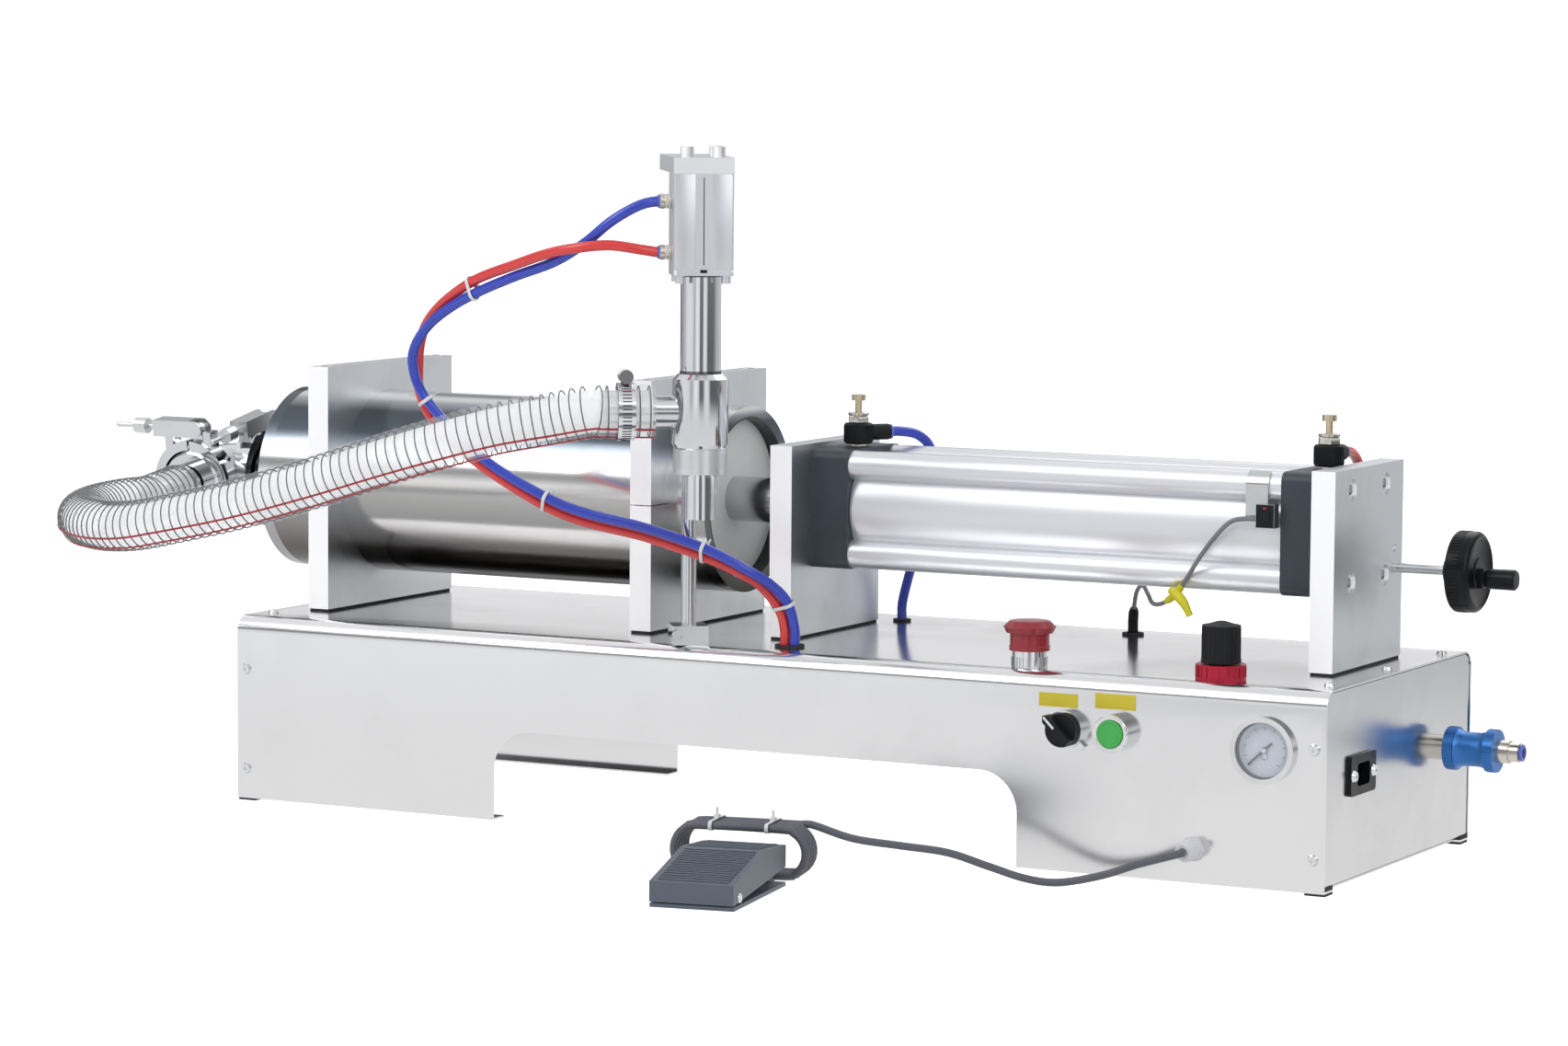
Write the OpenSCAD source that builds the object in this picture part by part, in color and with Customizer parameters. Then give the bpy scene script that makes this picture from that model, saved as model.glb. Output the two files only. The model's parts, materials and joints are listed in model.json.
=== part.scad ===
// Horizontal piston filler: an air cylinder pulls a piston through a steel tube,
// and a hose carries the dose to a shut-off nozzle that hangs in front of the housing.

/* [Housing] */
// Length of the sheet housing, left to right
cover_l = 950; // [880:10:1100]
// Depth of the housing, front to back
cover_w = 303; // [290:1:340]
// Height of the housing above its bottom edge
cover_h = 149; // [140:1:190]
// Thickness of the stainless sheet
sheet_t = 1.5; // [1:0.5:2.5]
// Outer bend radius of the two long top edges
bend_r = 13; // [8:1:18]
// Length of the closed leg at the left end
left_leg = 243; // [210:1:260]
// Length of the closed leg at the right end
right_leg = 248; // [246:1:270]
// Clear height of the bottle bay
bay_h = 72; // [50:1:90]
// Corner radius of the bottle bay
bay_r = 32; // [15:1:40]
// How far the rubber feet lift the housing
foot_lift = 2; // [1:0.5:6]

/* [Filling cylinder] */
// Distance from the front of the housing to the common cylinder axis
axis_y = 158; // [150:1:165]
// Height of the common cylinder axis above the housing
axis_rise = 102; // [98:1:130]
// Outside diameter of the filling tube
tube_d = 150; // [120:1:154]
// Wall of the filling tube
tube_wall = 10; // [3:0.5:14]
// Length of the filling tube
tube_l = 422; // [410:1:440]
// Overhang of the filling tube past the left housing end
tube_overhang = 35; // [25:1:45]
// Width of the two cradle plates
cradle_w = 193; // [191:1:210]
// Height of the two cradle plates
cradle_h = 199; // [190:1:230]
// Thickness of the cradle plates
cradle_t = 19; // [12:1:24]
// Place of the left cradle along the housing
cradle_x1 = 29; // [20:1:50]
// Place of the right cradle along the housing
cradle_x2 = 332; // [300:1:340]
// Thickness of the filling piston
piston_t = 46; // [30:1:60]
// Working stroke of both pistons
stroke = 300; // [100:10:300]

/* [Air cylinder] */
// Bore of the air cylinder
air_bore = 80; // [63:1:82]
// Width and height of the square end caps
cap_w = 94; // [90:1:98]
// Thickness of an end cap
cap_t = 34; // [30:1:40]
// Distance between neighbouring tie bolts
tie_pitch = 70; // [68:1:72]
// Diameter of the air cylinder's rod
air_rod_d = 25; // [20:1:28]
// Diameter of the coupling between the two rods
coupling_d = 36; // [30:1:44]
// Place of the front cylinder plate along the housing
front_plate_x = 447; // [440:1:455]
// Place of the rear cylinder plate along the housing
rear_plate_x = 900; // [890:1:905]
// Thickness of the two cylinder plates
plate_t = 19; // [15:1:22]
// Height of the two cylinder plates
plate_h = 151; // [148:1:170]
// Width of the front cylinder plate
front_plate_w = 153; // [150:1:180]
// Width of the rear cylinder plate
rear_plate_w = 141; // [138:1:160]

/* [Dose setting] */
// Diameter of the dose-setting screw
screw_d = 8; // [6:1:10]
// Diameter of the handwheel
wheel_d = 62; // [45:1:66]
// Thickness of the handwheel
wheel_t = 19; // [12:1:30]
// Length of the screw that shows between plate and wheel
screw_reach = 43; // [30:1:60]
// Travel of the switch carriage on the screw
carriage_travel = 240; // [100:10:250]

/* [Nozzle stand] */
// Diameter of the stand rod
stand_d = 12; // [10:1:14]
// Height of the stand rod above the housing
stand_h = 381; // [376:1:420]
// Distance from the stand rod to the nozzle axis
stand_offset = 90; // [80:1:110]
// Angle that the nozzle arm is swung to the right
stand_angle = 34; // [20:1:45]
// Thickness of the nozzle arm
arm_t = 12; // [8:1:16]
// Width of the nozzle arm and its air cylinder
arm_w = 46; // [42:1:52]
// Height of the nozzle's air cylinder
lift_h = 77; // [70:1:85]
// Outside diameter of the long nozzle tube
neck_d = 31; // [28:1:34]
// Length of the long nozzle tube
neck_l = 75; // [60:1:80]
// Diameter of the valve body
valve_d = 43; // [40:1:48]
// Height of the valve body
valve_h = 57; // [52:1:64]
// Diameter of the ring nut under the valve body
ring_nut_d = 41; // [38:1:46]
// Height of the ring nut
ring_nut_h = 19; // [14:1:24]
// Outside diameter of the nozzle tip
tip_d = 24.5; // [22:0.5:28]
// Length of the nozzle tip below the ring nut
tip_l = 35; // [20:1:40]
// Bore of the nozzle tip
tip_bore = 16; // [12:1:18]
// Lift of the shut-off plug
plug_lift = 12; // [6:1:14]

/* [Hose and fittings] */
// Outside diameter of the product hose
hose_d = 42; // [36:1:44]
// Bore of the product hose
hose_bore = 32; // [30:1:33]
// Distance from one wire turn to the next
rib_pitch = 8; // [6:1:12]
// Outside diameter of the air tubes
air_tube_d = 8; // [6:1:10]
// Outside diameter of the suction pipe
pipe_d = 50; // [46:1:52]
// Wall of the suction pipe
pipe_wall = 2; // [1.5:0.5:3]
// Outside diameter of a ferrule flange
ferrule_d = 64; // [62:1:66]
// Outside diameter of a clamp ring
clamp_d = 72; // [70:1:78]
// Width of a clamp ring
clamp_w = 16; // [14:1:20]
// Downward tilt of the elbow's mouth
elbow_tilt = 8; // [0:1:20]

/* [Controls] */
// Diameter of the panel cut-out for buttons
button_hole = 22; // [20:1:24]
// Diameter of a button bezel
bezel_d = 29; // [26:1:32]
// Diameter of the emergency mushroom
mushroom_d = 40; // [36:1:44]
// Diameter of the pressure gauge
gauge_d = 50; // [46:1:54]
// Diameter of the regulator knob
reg_knob_d = 29; // [26:1:32]
// Width across the regulator nut
reg_nut_d = 38; // [36:1:42]
// Diameter of the slide-valve sleeve
sleeve_d = 33; // [30:1:36]

/* [Pedal] */
// Width of the foot pedal
pedal_w = 64; // [60:1:80]
// Length of the foot pedal
pedal_l = 122; // [110:1:140]
// Height of the foot pedal at its ridge
pedal_h = 34; // [32:1:40]
// Diameter of the pedal's cord
cord_d = 6; // [5:0.5:7]

/* [Hidden] */
$fn = 48;

// Clearances that many pieces share, and the overrun of cuts
over = 1;
fit_gap = 0.3;
run_gap = 0.05;
slide_gap = 0.08;
bolt_gap = 0.2;

// Common places
axis_z = cover_h + axis_rise;
tube_r = tube_d / 2;
bore_r = tube_r - tube_wall;
tube_left = -tube_overhang;
tube_right = tube_left + tube_l;
bay_end = cover_l - right_leg;

// Housing
flange_w = 18;
panel_recess = 1;
panel_gap = 0.8;
panel_lift = 4.5;
panel_flange = 16;
panel_y = sheet_t + panel_gap;
panel_w = cover_w - 2 * panel_y;
panel_h = cover_h - panel_y - panel_lift;
panel_r = bend_r - panel_y;
panel_face = cover_l - panel_recess;
screw_r = 1.5;
screw_head_r = 4.5;
screw_head_h = 2.2;
screw_len = 8;
screw_in = 9;
side_screws_z = [24.5, 106];
top_screw_in = 12;
top_screws_y = [35, 152, 268];
foot_w = 16;
foot_stem_r = 4;
foot_y = sheet_t + fit_gap + foot_w / 2;
foot_places = [for (x = [foot_w / 2, cover_l - foot_w / 2], y = [foot_y, cover_w - foot_y]) [x, y]];
tray_gap = 1;
tray_x = bay_end + tray_gap;
tray_y = panel_y + sheet_t + tray_gap;
tray_end = panel_face - sheet_t - tray_gap;
contact_l = 34;
contact_r = 12;
partition_top = cover_h - sheet_t - contact_l - 2 * tray_gap;

// Gaskets and grommets; a grommet is its place along and across and its clear radius
gasket_t = 2;
gasket_in = 1;
plate_foot = cover_h + gasket_t;
air_tube_r = air_tube_d / 2;
cable_r = 1.8;
grommet_lip = 2;
grommet_wall = 1.7;
grommet_groove = 1.3;
bundle_grommet = [485, 44, air_tube_d + 2 * fit_gap];
front_tube_grommet = [481, 248, air_tube_r + fit_gap];
lead_grommet = [682, 257, 3 * cable_r + fit_gap];
rear_tube_grommet = [875, 252, air_tube_r + fit_gap];
grommet_list = [bundle_grommet, front_tube_grommet, lead_grommet, rear_tube_grommet];

// Upright plates: place along, width and thickness, and the bolts that hold them from below
bolt_r = 4;
bolt_head_r = 7;
bolt_head_h = 5;
bolt_bite = 18;
bolt_edge = 22;
plate_list = [[cradle_x1, cradle_w, cradle_t], [cradle_x2, cradle_w, cradle_t],
  [front_plate_x, front_plate_w, plate_t], [rear_plate_x, rear_plate_w, plate_t]];
bolt_places = [for (p = plate_list, side = [-1, 1])
  [p[0] + p[2] / 2, axis_y + side * (p[1] / 2 - bolt_edge)]];
cap_screw_edge = 9.5;
cap_screw_y = cradle_w / 2 - cap_screw_edge;
cap_screw_head_r = 6.5;
cap_screw_head_h = 8;
socket_share = 0.55;
split_gap = 0.8;
cradle_top = plate_foot + cradle_h;

// Filling tube's end cap and port
end_cap_t = 10;
spigot_l = 12;
port_l = 46;
port_r = pipe_d / 2;
port_bore = port_r - pipe_wall;
port_face_x = tube_left - port_l;
ferrule_r = ferrule_d / 2;
ferrule_t = 3.2;
seal_t = 1.6;
ferrule_slope = 4;

// Pistons and rod
piston_face_in = 12;
piston_groove_w = 6;
piston_groove_d = 2;
piston_right = tube_right - piston_face_in;
piston_stud_r = 8;
piston_stud_share = 0.6;
piston_stud_l = piston_t * piston_stud_share;
coupling_end_gap = 3;
coupling_right = front_plate_x - coupling_end_gap;
air_piston_t = 28;
cushion_l = 4;
air_rod_r = air_rod_d / 2;

// Air cylinder
front_cap_x = front_plate_x + plate_t;
rear_cap_x = rear_plate_x - cap_t;
barrel_x = front_cap_x + cap_t;
barrel_wall = 3.5;
barrel_r = air_bore / 2 + barrel_wall;
lobe_in = 0.5;
lobe_r = cap_w / 2 - tie_pitch / 2 - lobe_in;
lobe_hole_r = 5.3;
tie_r = 5;
tie_head_r = 8;
tie_head_h = 6;
tie_sink = 8;
tie_bite = 20;
cap_corner = 8;
cap_top_z = axis_z + cap_w / 2;
air_piston_x = barrel_x + cushion_l + stroke;
nose_r = 20;
boss_r = 26;
boss_h = 3;

// Flow valves on the caps, heights above the cap
flow_shift = 2.5;
flow_r = 11.5;
flow_lift = 2;
flow_top = 18.5;
flow_nut_r = 9;
flow_nut_h = 6;
flow_disc_r = 8;
flow_disc_h = 3.5;
flow_stud_r = 5;
flow_stud_l = 10;
flow_arm_z = 11;
flow_arm_r = 6.5;
flow_arm_l = 28;
flow_thread_r = 2.7;
flow_thread_in = 8;
flow_head_r = 5.6;
flow_head_h = 4.5;
flow_screw_top = 41;
flow_socket_l = 12;
front_flow_x = front_cap_x + cap_t / 2 + flow_shift;
rear_flow_x = rear_cap_x + cap_t / 2 + flow_shift;
front_flow_turn = 50;
rear_flow_turn = 90;

// Switch strap on the front upper lobe
strap_x = 838;
strap_w = 18;
strap_t = 1.6;
strap_drop = 30;
switch_x = 850;
switch_w = 15;
switch_h = 18;
switch_t = 9;

// Dose screw, guide and carriage
dose_r = screw_d / 2;
dose_clear = 3;
screw_y = axis_y + cap_w / 2 + dose_r + dose_clear;
screw_drop = 31;
screw_z = axis_z - screw_drop;
bearing_l = 8;
guide_r = 3;
guide_rise = 15;
guide_z = screw_z + guide_rise;
wheel_r = wheel_d / 2;
wheel_hub_r = 11.5;
wheel_hub_l = 8;
wheel_chamfer = 4;
wheel_nub_r = 8;
wheel_nub_l = 29;
wheel_nub_drop = 4.5;
wheel_x = rear_plate_x + plate_t + screw_reach;
carriage_l = 24;
carriage_in = 40;
carriage_x = rear_cap_x - carriage_l - carriage_in;
screw_stop_t = 6;
screw_stop_rise = 2;
carriage_gap = 0.8;
carriage_wall = 6;
carriage_front = axis_y + tie_pitch / 2 + lobe_r + carriage_gap;
carriage_back = screw_y + dose_r + carriage_wall;

// Nozzle stand, clamp block and arm; the arm's own frame has the rod at its origin
stand_x = 406;
stand_y = 24;
stand_r = stand_d / 2;
stand_top = cover_h + stand_h;
clamp_block = 28;
clamp_block_h = 15;
clamp_turn = 37;
clamp_slit = 2;
clamp_bolt_r = 3;
clamp_bolt_head_r = 5;
clamp_bolt_head_h = 5;
stand_nut_r = 10;
stand_nut_h = 8;
arm_back = 14;
arm_front = arm_w / 2;
arm_bolt_r = 3.3;
arm_bolt_head_r = 5;
arm_bolt_head_h = 8;
arm_bolt_pitch = 24;
set_screw_r = 2.5;
set_screw_h = 4;
set_screw_at = [-9, -67];
arm_underside = stand_top - arm_t;

// Nozzle's air cylinder and tube
lift_base = arm_underside - lift_h;
lift_bore = 16;
lift_piston_t = 12;
lift_wall = 12;
lift_corner = 4;
foot_screw_at = 17.5;
foot_screw_r = 3.6;
foot_screw_h = 6;
foot_screw_in = 8;
neck_wall = 4;
neck_r = neck_d / 2;
neck_base = lift_base - neck_l;
push_fit_r = 6.2;
push_fit_l = 10;
push_stud_r = 4.6;
push_stud_l = 6;
fit_height_shares = [0.22, 0.72];
lower_fit_z = lift_base + lift_h * fit_height_shares[0];
upper_fit_z = lift_base + lift_h * fit_height_shares[1];

// Valve body, ring nut and tip
valve_r = valve_d / 2;
valve_base = neck_base - valve_h;
valve_bevel = 4;
valve_bore = 13;
branch_r = 13;
branch_rise = 28;
branch_l = 35;
branch_z = valve_base + branch_rise;
barb_l = 40;
barb_gap = 0.15;
barb_r = hose_bore / 2 - barb_gap;
barb_wall = 3;
ring_nut_r = ring_nut_d / 2;
ring_nut_base = valve_base - ring_nut_h;
nut_wall = 4;
nut_lip = 4;
nut_bore = ring_nut_r - nut_wall;
tip_flange_h = 5;
tip_r = tip_d / 2;
tip_top = ring_nut_base + nut_lip + tip_flange_h;
tip_base = ring_nut_base - tip_l;
tip_wall = 2.2;
tip_neck_l = 2;
tip_neck_in = 0.8;
seat_l = 6;
stem_r = 4;
stem_guide = 9;
plug_l = 12;
plug_r = tip_bore / 2 - slide_gap;

// Band that holds the hose on the nozzle's branch
band_at = 57;
band_w = 13;
band_t = 0.8;
band_screw_r = 5.5;
band_screw_l = 20;

// Elbow, adapter and clamps
elbow_r = 30;
elbow_lead = 5.4;
elbow_x = port_face_x - seal_t - elbow_lead - elbow_r;
mouth_l = 43;
adapter_l = 25;
adapter_step = 6;
adapter_neck_r = port_r - adapter_step;
hose_start_l = mouth_l + adapter_l;
clamp_r = clamp_d / 2;
clamp_split = 2;
clamp_clear = 0.3;
clamp_lip = 3;
clamp_lip_r = port_r + clamp_lip;
lever_rise = 10;
pivot_y = 7;
pivot_z = clamp_r + lever_rise;
lever_front = 34;
lever_half_w = 8.5;
lever_half_h = 7;
lever_t = 1.6;
lever_pin_r = 2.5;
lug_half_t = 2.5;
lug_r = 4.8;
stop_y = 15;
stop_l = 7;
eye_r = 2.5;
eye_end = 76;
eye_screw_r = 2.2;
eye_nut_r = 6.5;
eye_nut_l = 12;
eye_nut_at = 44;
prong_in = 3.1;
prong_out = 6.2;
prong_y = -24;
prong_l = 8;
knuckle_r = 4.5;
knuckle_half_l = 4;
knuckle_z = clamp_r + knuckle_r;
hinge_pin_r = 2;
port_lever_turn = 11;

// Controls on the top and the front
button_hole_r = button_hole / 2;
thread_r = button_hole_r - bolt_gap;
thread_wall = 2;
thread_bore_r = thread_r - thread_wall;
estop_x = 698;
estop_y = 28;
estop_collar_r = 13.2;
estop_collar_h = 15;
estop_skirt_r = 15;
estop_lift = 13;
estop_skirt_h = 13;
estop_head_h = 9;
estop_travel = 4;
plunger_r = 5;
selector_x = 743;
button_x = 783;
button_z = 108;
bezel_out = 12;
bezel_r = bezel_d / 2;
selector_rim_h = 8;
selector_out = 21;
selector_disc_h = 5;
selector_disc_r = 12.5;
selector_grip = 7;
selector_hub_r = 4;
selector_turn = 135;
selector_tab = 5;
selector_tab_turn = 45;
bezel_rim = 4;
push_cap_r = bezel_r - bezel_rim;
push_cap_h = 6;
push_proud = 1;
push_stem_r = 4;
push_stem_l = 24;
regulator_x = 851;
regulator_y = 36;
reg_nut_h = 11;
reg_hole_r = 15;
reg_body_r = 17;
reg_body_h = 38;
reg_stem_r = 9;
reg_stem_l = 24;
reg_knob_gap = 1;
reg_knob_h = 28;
reg_knob_tip = 3;
gauge_x = 901;
gauge_z = 103;
gauge_r = gauge_d / 2;
gauge_out = 5;
gauge_rim = 4;
gauge_lip = 3;
gauge_body_r = gauge_r - gauge_lip;
gauge_body_l = 20;
gauge_hex_r = 8;
gauge_port_r = 4.5;
gauge_port_l = 10;
dial_out = -2;
lens_t = 1.5;
lens_in = 1;
needle_l = 17;
needle_tail = 8;
needle_w = 1.4;
needle_t = 0.8;
needle_lift = 1;
needle_hub_r = 2.2;
needle_pin_r = 1;
needle_pin_l = 5;
needle_angle = 222;

// Inlets on the right end panel and the gland on the front
inlet_y = 71;
inlet_z = 81;
inlet_w = 50;
inlet_h = 30;
inlet_corner = 3;
inlet_lip = 3;
inlet_body_w = 30;
inlet_body_h = 24;
inlet_body_l = 26;
inlet_hole_w = 25;
inlet_hole_h = 17;
inlet_hole_l = 17;
inlet_pin_l = 9;
inlet_pin_w = 4;
inlet_pin_t = 2;
inlet_pins = [[-7, -3], [0, 2], [7, -3]];
inlet_ear = 20;
air_in_y = 228;
air_in_z = 82;
air_hex_r = 9.8;
air_hex_l = 11;
air_body_r = 9;
air_body_l = 50;
air_end_r = 7.5;
air_end_l = 8;
air_bore_r = 3;
air_socket_l = 16;
air_thread_r = 6.5;
air_thread_l = 20;
air_nut_l = 6;
sleeve_r = sleeve_d / 2;
sleeve_l = 40;
sleeve_waist = 3.5;
sleeve_waist_r = sleeve_r - sleeve_waist;
sleeve_rim_l = 8;
gland_x = 846;
gland_z = 25.5;
gland_hex_r = 9.5;
gland_hex_l = 5;
gland_dome_r = 7.8;
gland_tip_r = 5.5;
gland_dome_l = 10;
gland_tip_l = 5;
gland_thread_r = 6;
gland_nut_l = 6;
gland_end = gland_hex_l + gland_dome_l + gland_tip_l;

// Valve bank that stands on the service tray
bank_x = 740;
bank_y = 120;
bank_l = 110;
bank_w = 30;
bank_h = 18;
solenoids = 3;
solenoid_w = 24;
solenoid_t = 22;
solenoid_h = 38;
coil_h = 26;
coil_in = 3;

// Pedal, in a frame on the ground at its front left corner
pedal_x = 544;
pedal_y = -283;
pedal_turn = 10;
pedal_wall = 2.5;
pedal_plate_t = 3;
pedal_gap = 1;
pedal_pin_r = 2.5;
pedal_pin_y = 14;
pedal_pin_z = 8;
pedal_ear_t = 4;
pedal_ear_r = 5;
pedal_ear_gap = 0.5;
// Heights of the tread's front, back and tail and the place of its ridge
pedal_height_shares = [0.56, 0.9, 0.42];
pedal_ridge_share = 0.58;
pedal_front_h = pedal_h * pedal_height_shares[0];
pedal_back_h = pedal_h * pedal_height_shares[1];
pedal_tail_z = pedal_h * pedal_height_shares[2];
pedal_ridge_y = pedal_l * pedal_ridge_share;
pedal_block_w = 30;
pedal_block_l = 34;
pedal_block_h = 9;
outlet_x = 30;
outlet_w = 20;
outlet_h = 10;

// Cord and its hank, whose loops stand on edge behind the pedal
cord_r = cord_d / 2;
hank_gap = 0.9;
hank_pitch = cord_d + hank_gap;
hank_loops = 4;
hank_fold = 3 * cord_d;
hank_run = 66;
hank_mid = 22;
hank_back = 14;
hank_y = pedal_l + hank_back;
hank_rings = 24;
hank_sides = 6;
hank_lead = 8;
hank_ends = hank_loops + 0.5;

// Reach of all but the free hoses and cords, so that the origin lies under its middle
reach_left = elbow_x - eye_end;
reach_right = wheel_x + wheel_hub_l + wheel_t + wheel_nub_l;
reach_front = pedal_y;
reach_back = cover_w + screw_head_h;
origin_x = (reach_left + reach_right) / 2;
origin_y = (reach_front + reach_back) / 2;

// Routes of the free hoses, tubes and cables, chosen by hand in the housing's frame
hose_route = [[-118, 10, 235], [-116, -25, 234], [-107, -57, 233], [-93, -84, 232],
  [-73, -106, 231], [-50, -124, 231], [-24, -138, 232], [5, -147, 235], [35, -151, 241],
  [100, -152, 256], [170, -151, 276], [235, -146, 297], [280, -138, 311],
  [321, -124, 323], [358, -108, 331]];
blue_route = [[417, -78, 493], [398, -86, 481], [376, -88, 464], [349, -88, 449],
  [312, -83, 437], [276, -77, 424], [247, -71, 411], [223, -65, 396], [207, -59, 379],
  [201, -53, 363], [204, -46, 343], [218, -40, 323], [239, -33, 301], [266, -27, 281],
  [307, -19, 260], [337, -13, 250], [383, -6, 241], [433, 0, 227], [463, 10, 212],
  [477, 26, 199], [486, 38, 184]];
red_route = [[419, -78, 460], [399, -89, 463], [377, -97, 461], [349, -95, 456],
  [314, -87, 446], [273, -77, 433], [238, -65, 415], [217, -57, 398], [206, -50, 381],
  [200, -43, 363], [198, -38, 342], [207, -34, 320], [226, -26, 298], [263, -21, 274],
  [303, -12, 252], [333, -5, 242], [378, 3, 233], [429, 9, 219], [457, 19, 206],
  [468, 30, 196], [478, 40, 178]];
front_tube_route = [[517, 199, 306], [522, 212, 296], [521, 222, 280], [515, 230, 260],
  [506, 237, 234], [495, 243, 206], [486, 247, 182]];
rear_tube_route = [[885.5, 208, 306], [885.5, 220, 297], [885, 229, 282], [883, 236, 260],
  [881, 243, 234], [878, 248, 206], [876, 251, 182]];
sensor_route = [[828, 104, 259], [815, 104, 246], [802, 105, 229], [791, 108, 213],
  [779, 115, 200], [762, 130, 191], [741, 160, 187], [722, 194, 190], [704, 224, 193],
  [690, 244, 184]];
pedal_route = [[613, -97, 28], [646, -87, 24], [681, -76, 20], [710, -67, 11], [738, -60, 3],
  [762, -53.5, 1.2], [792, -45, 7.5], [818, -37, 17]];

// Steps along the routes
hose_fine = 8;
hose_sides = 8;
rib_depth = 0.8;
tube_step = 14;
tube_sides = 8;
tube_rise = 14;
tube_drop = 25;
bundle_shift = 4.3;
lead_shares = [0, 1];
cable_lead = 10;
cable_rise = 6;
cord_step = 9;

// Stands the object on its feet with its middle over the origin
module placed() {
  at([-origin_x, -origin_y, foot_lift]) children();
}

// Flat outlines
module arch_2d(w, h, r) {
  square([w, h - r]);
  at([r, 0]) square([w - 2 * r, h]);
  for (x = [r, w - r]) at([x, h - r]) circle(r);
}
module round_2d(w, h, r) {
  square([w - 2 * r, h], center = true);
  square([w, h - 2 * r], center = true);
  for (x = [-1, 1], y = [-1, 1]) at([x * (w / 2 - r), y * (h / 2 - r)]) circle(r);
}

// Bars along an axis, and a flat outline across and up that is drawn out along the length
module at(p) {
  translate(p) children();
}
module up(h) {
  at([0, 0, h]) children();
}
module bar_z(l, r) {
  cylinder(h = l, r = r);
}
module bar_x(l, r) {
  rotate([0, 90, 0]) bar_z(l, r);
}
module bar_y(l, r) {
  rotate([-90, 0, 0]) bar_z(l, r);
}
module along_x(l) {
  rotate([90, 0, 90]) linear_extrude(l) children();
}
module hole_z(l, r) {
  up(-over) bar_z(l + 2 * over, r);
}
module hole_x(l, r) {
  rotate([0, 90, 0]) hole_z(l, r);
}
module pipe_z(l, r, hole) {
  difference() {
    bar_z(l, r);
    hole_z(l, hole);
  }
}
module pipe_x(l, r, hole) {
  rotate([0, 90, 0]) pipe_z(l, r, hole);
}

// Rod frame of the nozzle stand, whose arm points to its -Y, and the same for a point
module at_stand() {
  at([stand_x, stand_y, 0]) rotate([0, 0, stand_angle]) children();
}
module at_nozzle() {
  at_stand() at([0, -stand_offset, 0]) children();
}
function stand_point(x, y, z) =
  [stand_x + x * cos(stand_angle) - y * sin(stand_angle),
   stand_y + x * sin(stand_angle) + y * cos(stand_angle), z];
function mouth_point(d) =
  [elbow_x, axis_y - d * cos(elbow_tilt), axis_z - d * sin(elbow_tilt)];
function pedal_point(x, y, z) =
  [pedal_x + x * cos(pedal_turn) - y * sin(pedal_turn),
   pedal_y + x * sin(pedal_turn) + y * cos(pedal_turn), z - foot_lift];

// Smooth paths: a curve through the points, and points at even steps along it
function unit(v) = v / norm(v);
function blend(a, b, c, d, t) =
  0.5 * (2 * b + (c - a) * t + (2 * a - 5 * b + 4 * c - d) * t * t
    + (3 * b - a - 3 * c + d) * t * t * t);
function curve(p, n) = let (m = len(p) - 1)
  concat([for (i = [0 : m - 1], k = [0 : n - 1])
    blend(p[max(i - 1, 0)], p[i], p[i + 1], p[min(i + 2, m)], k / n)], [p[m]]);
function lengths(p) = [for (i = 0, s = 0; i < len(p);
  i = i + 1, s = i < len(p) ? s + norm(p[i] - p[i - 1]) : s) s];
function step_points(p, step) =
  let (s = lengths(p), n = max(2, round(s[len(s) - 1] / step)), gap = s[len(s) - 1] / n)
  [for (k = 0, i = 0; k <= n; k = k + 1, i = next_leg(s, i, k * gap))
    let (f = (k * gap - s[i]) / max(s[i + 1] - s[i], run_gap / 1000)) p[i] + (p[i + 1] - p[i]) * f];
function next_leg(s, i, d) = i < len(s) - 2 && s[i + 1] < d ? next_leg(s, i + 1, d) : i;
function heading(p, i) = unit(p[min(i + 1, len(p) - 1)] - p[max(i - 1, 0)]);
function across(v, t) = unit(v - (v * t) * t);
function frames(p, up) = [for (i = 0, t = heading(p, 0), n = across(up, t); i < len(p);
  i = i + 1, t = heading(p, min(i, len(p) - 1)), n = across(n, t)) [t, n]];
function ring(c, f, r, sides) = let (b = cross(f[0], f[1]))
  [for (k = [0 : sides - 1]) c + r * (cos(360 * k / sides) * f[1] + sin(360 * k / sides) * b)];
function skin(n, sides, at, way) = [for (i = [0 : n - 2], k = [0 : sides - 1], h = [0, 1])
  let (j = (k + 1) % sides, a = at + i * sides + k, b = at + i * sides + j,
    c = b + sides, d = a + sides)
  h == 0 ? (way ? [a, d, c] : [a, c, d]) : (way ? [a, c, b] : [a, b, c])];
function lid(sides, at, way) = [for (k = [1 : sides - 2])
  way ? [at, at + k, at + k + 1] : [at, at + k + 1, at + k]];
function collar(sides, a, b, way) = [for (k = [0 : sides - 1], h = [0, 1])
  let (j = (k + 1) % sides)
  h == 0 ? (way ? [a + k, a + j, b + j] : [a + k, b + j, a + j])
    : (way ? [a + k, b + j, b + k] : [a + k, b + k, b + j])];

// A plain cord: one skin along the path with flat ends
module cord_along(path, r, sides, up) {
  f = frames(path, up);
  rings = [for (i = [0 : len(path) - 1]) each ring(path[i], f[i], r, sides)];
  last = (len(path) - 1) * sides;
  polyhedron(rings, concat(lid(sides, 0, true), skin(len(path), sides, 0, true),
    lid(sides, last, false)));
}

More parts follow.
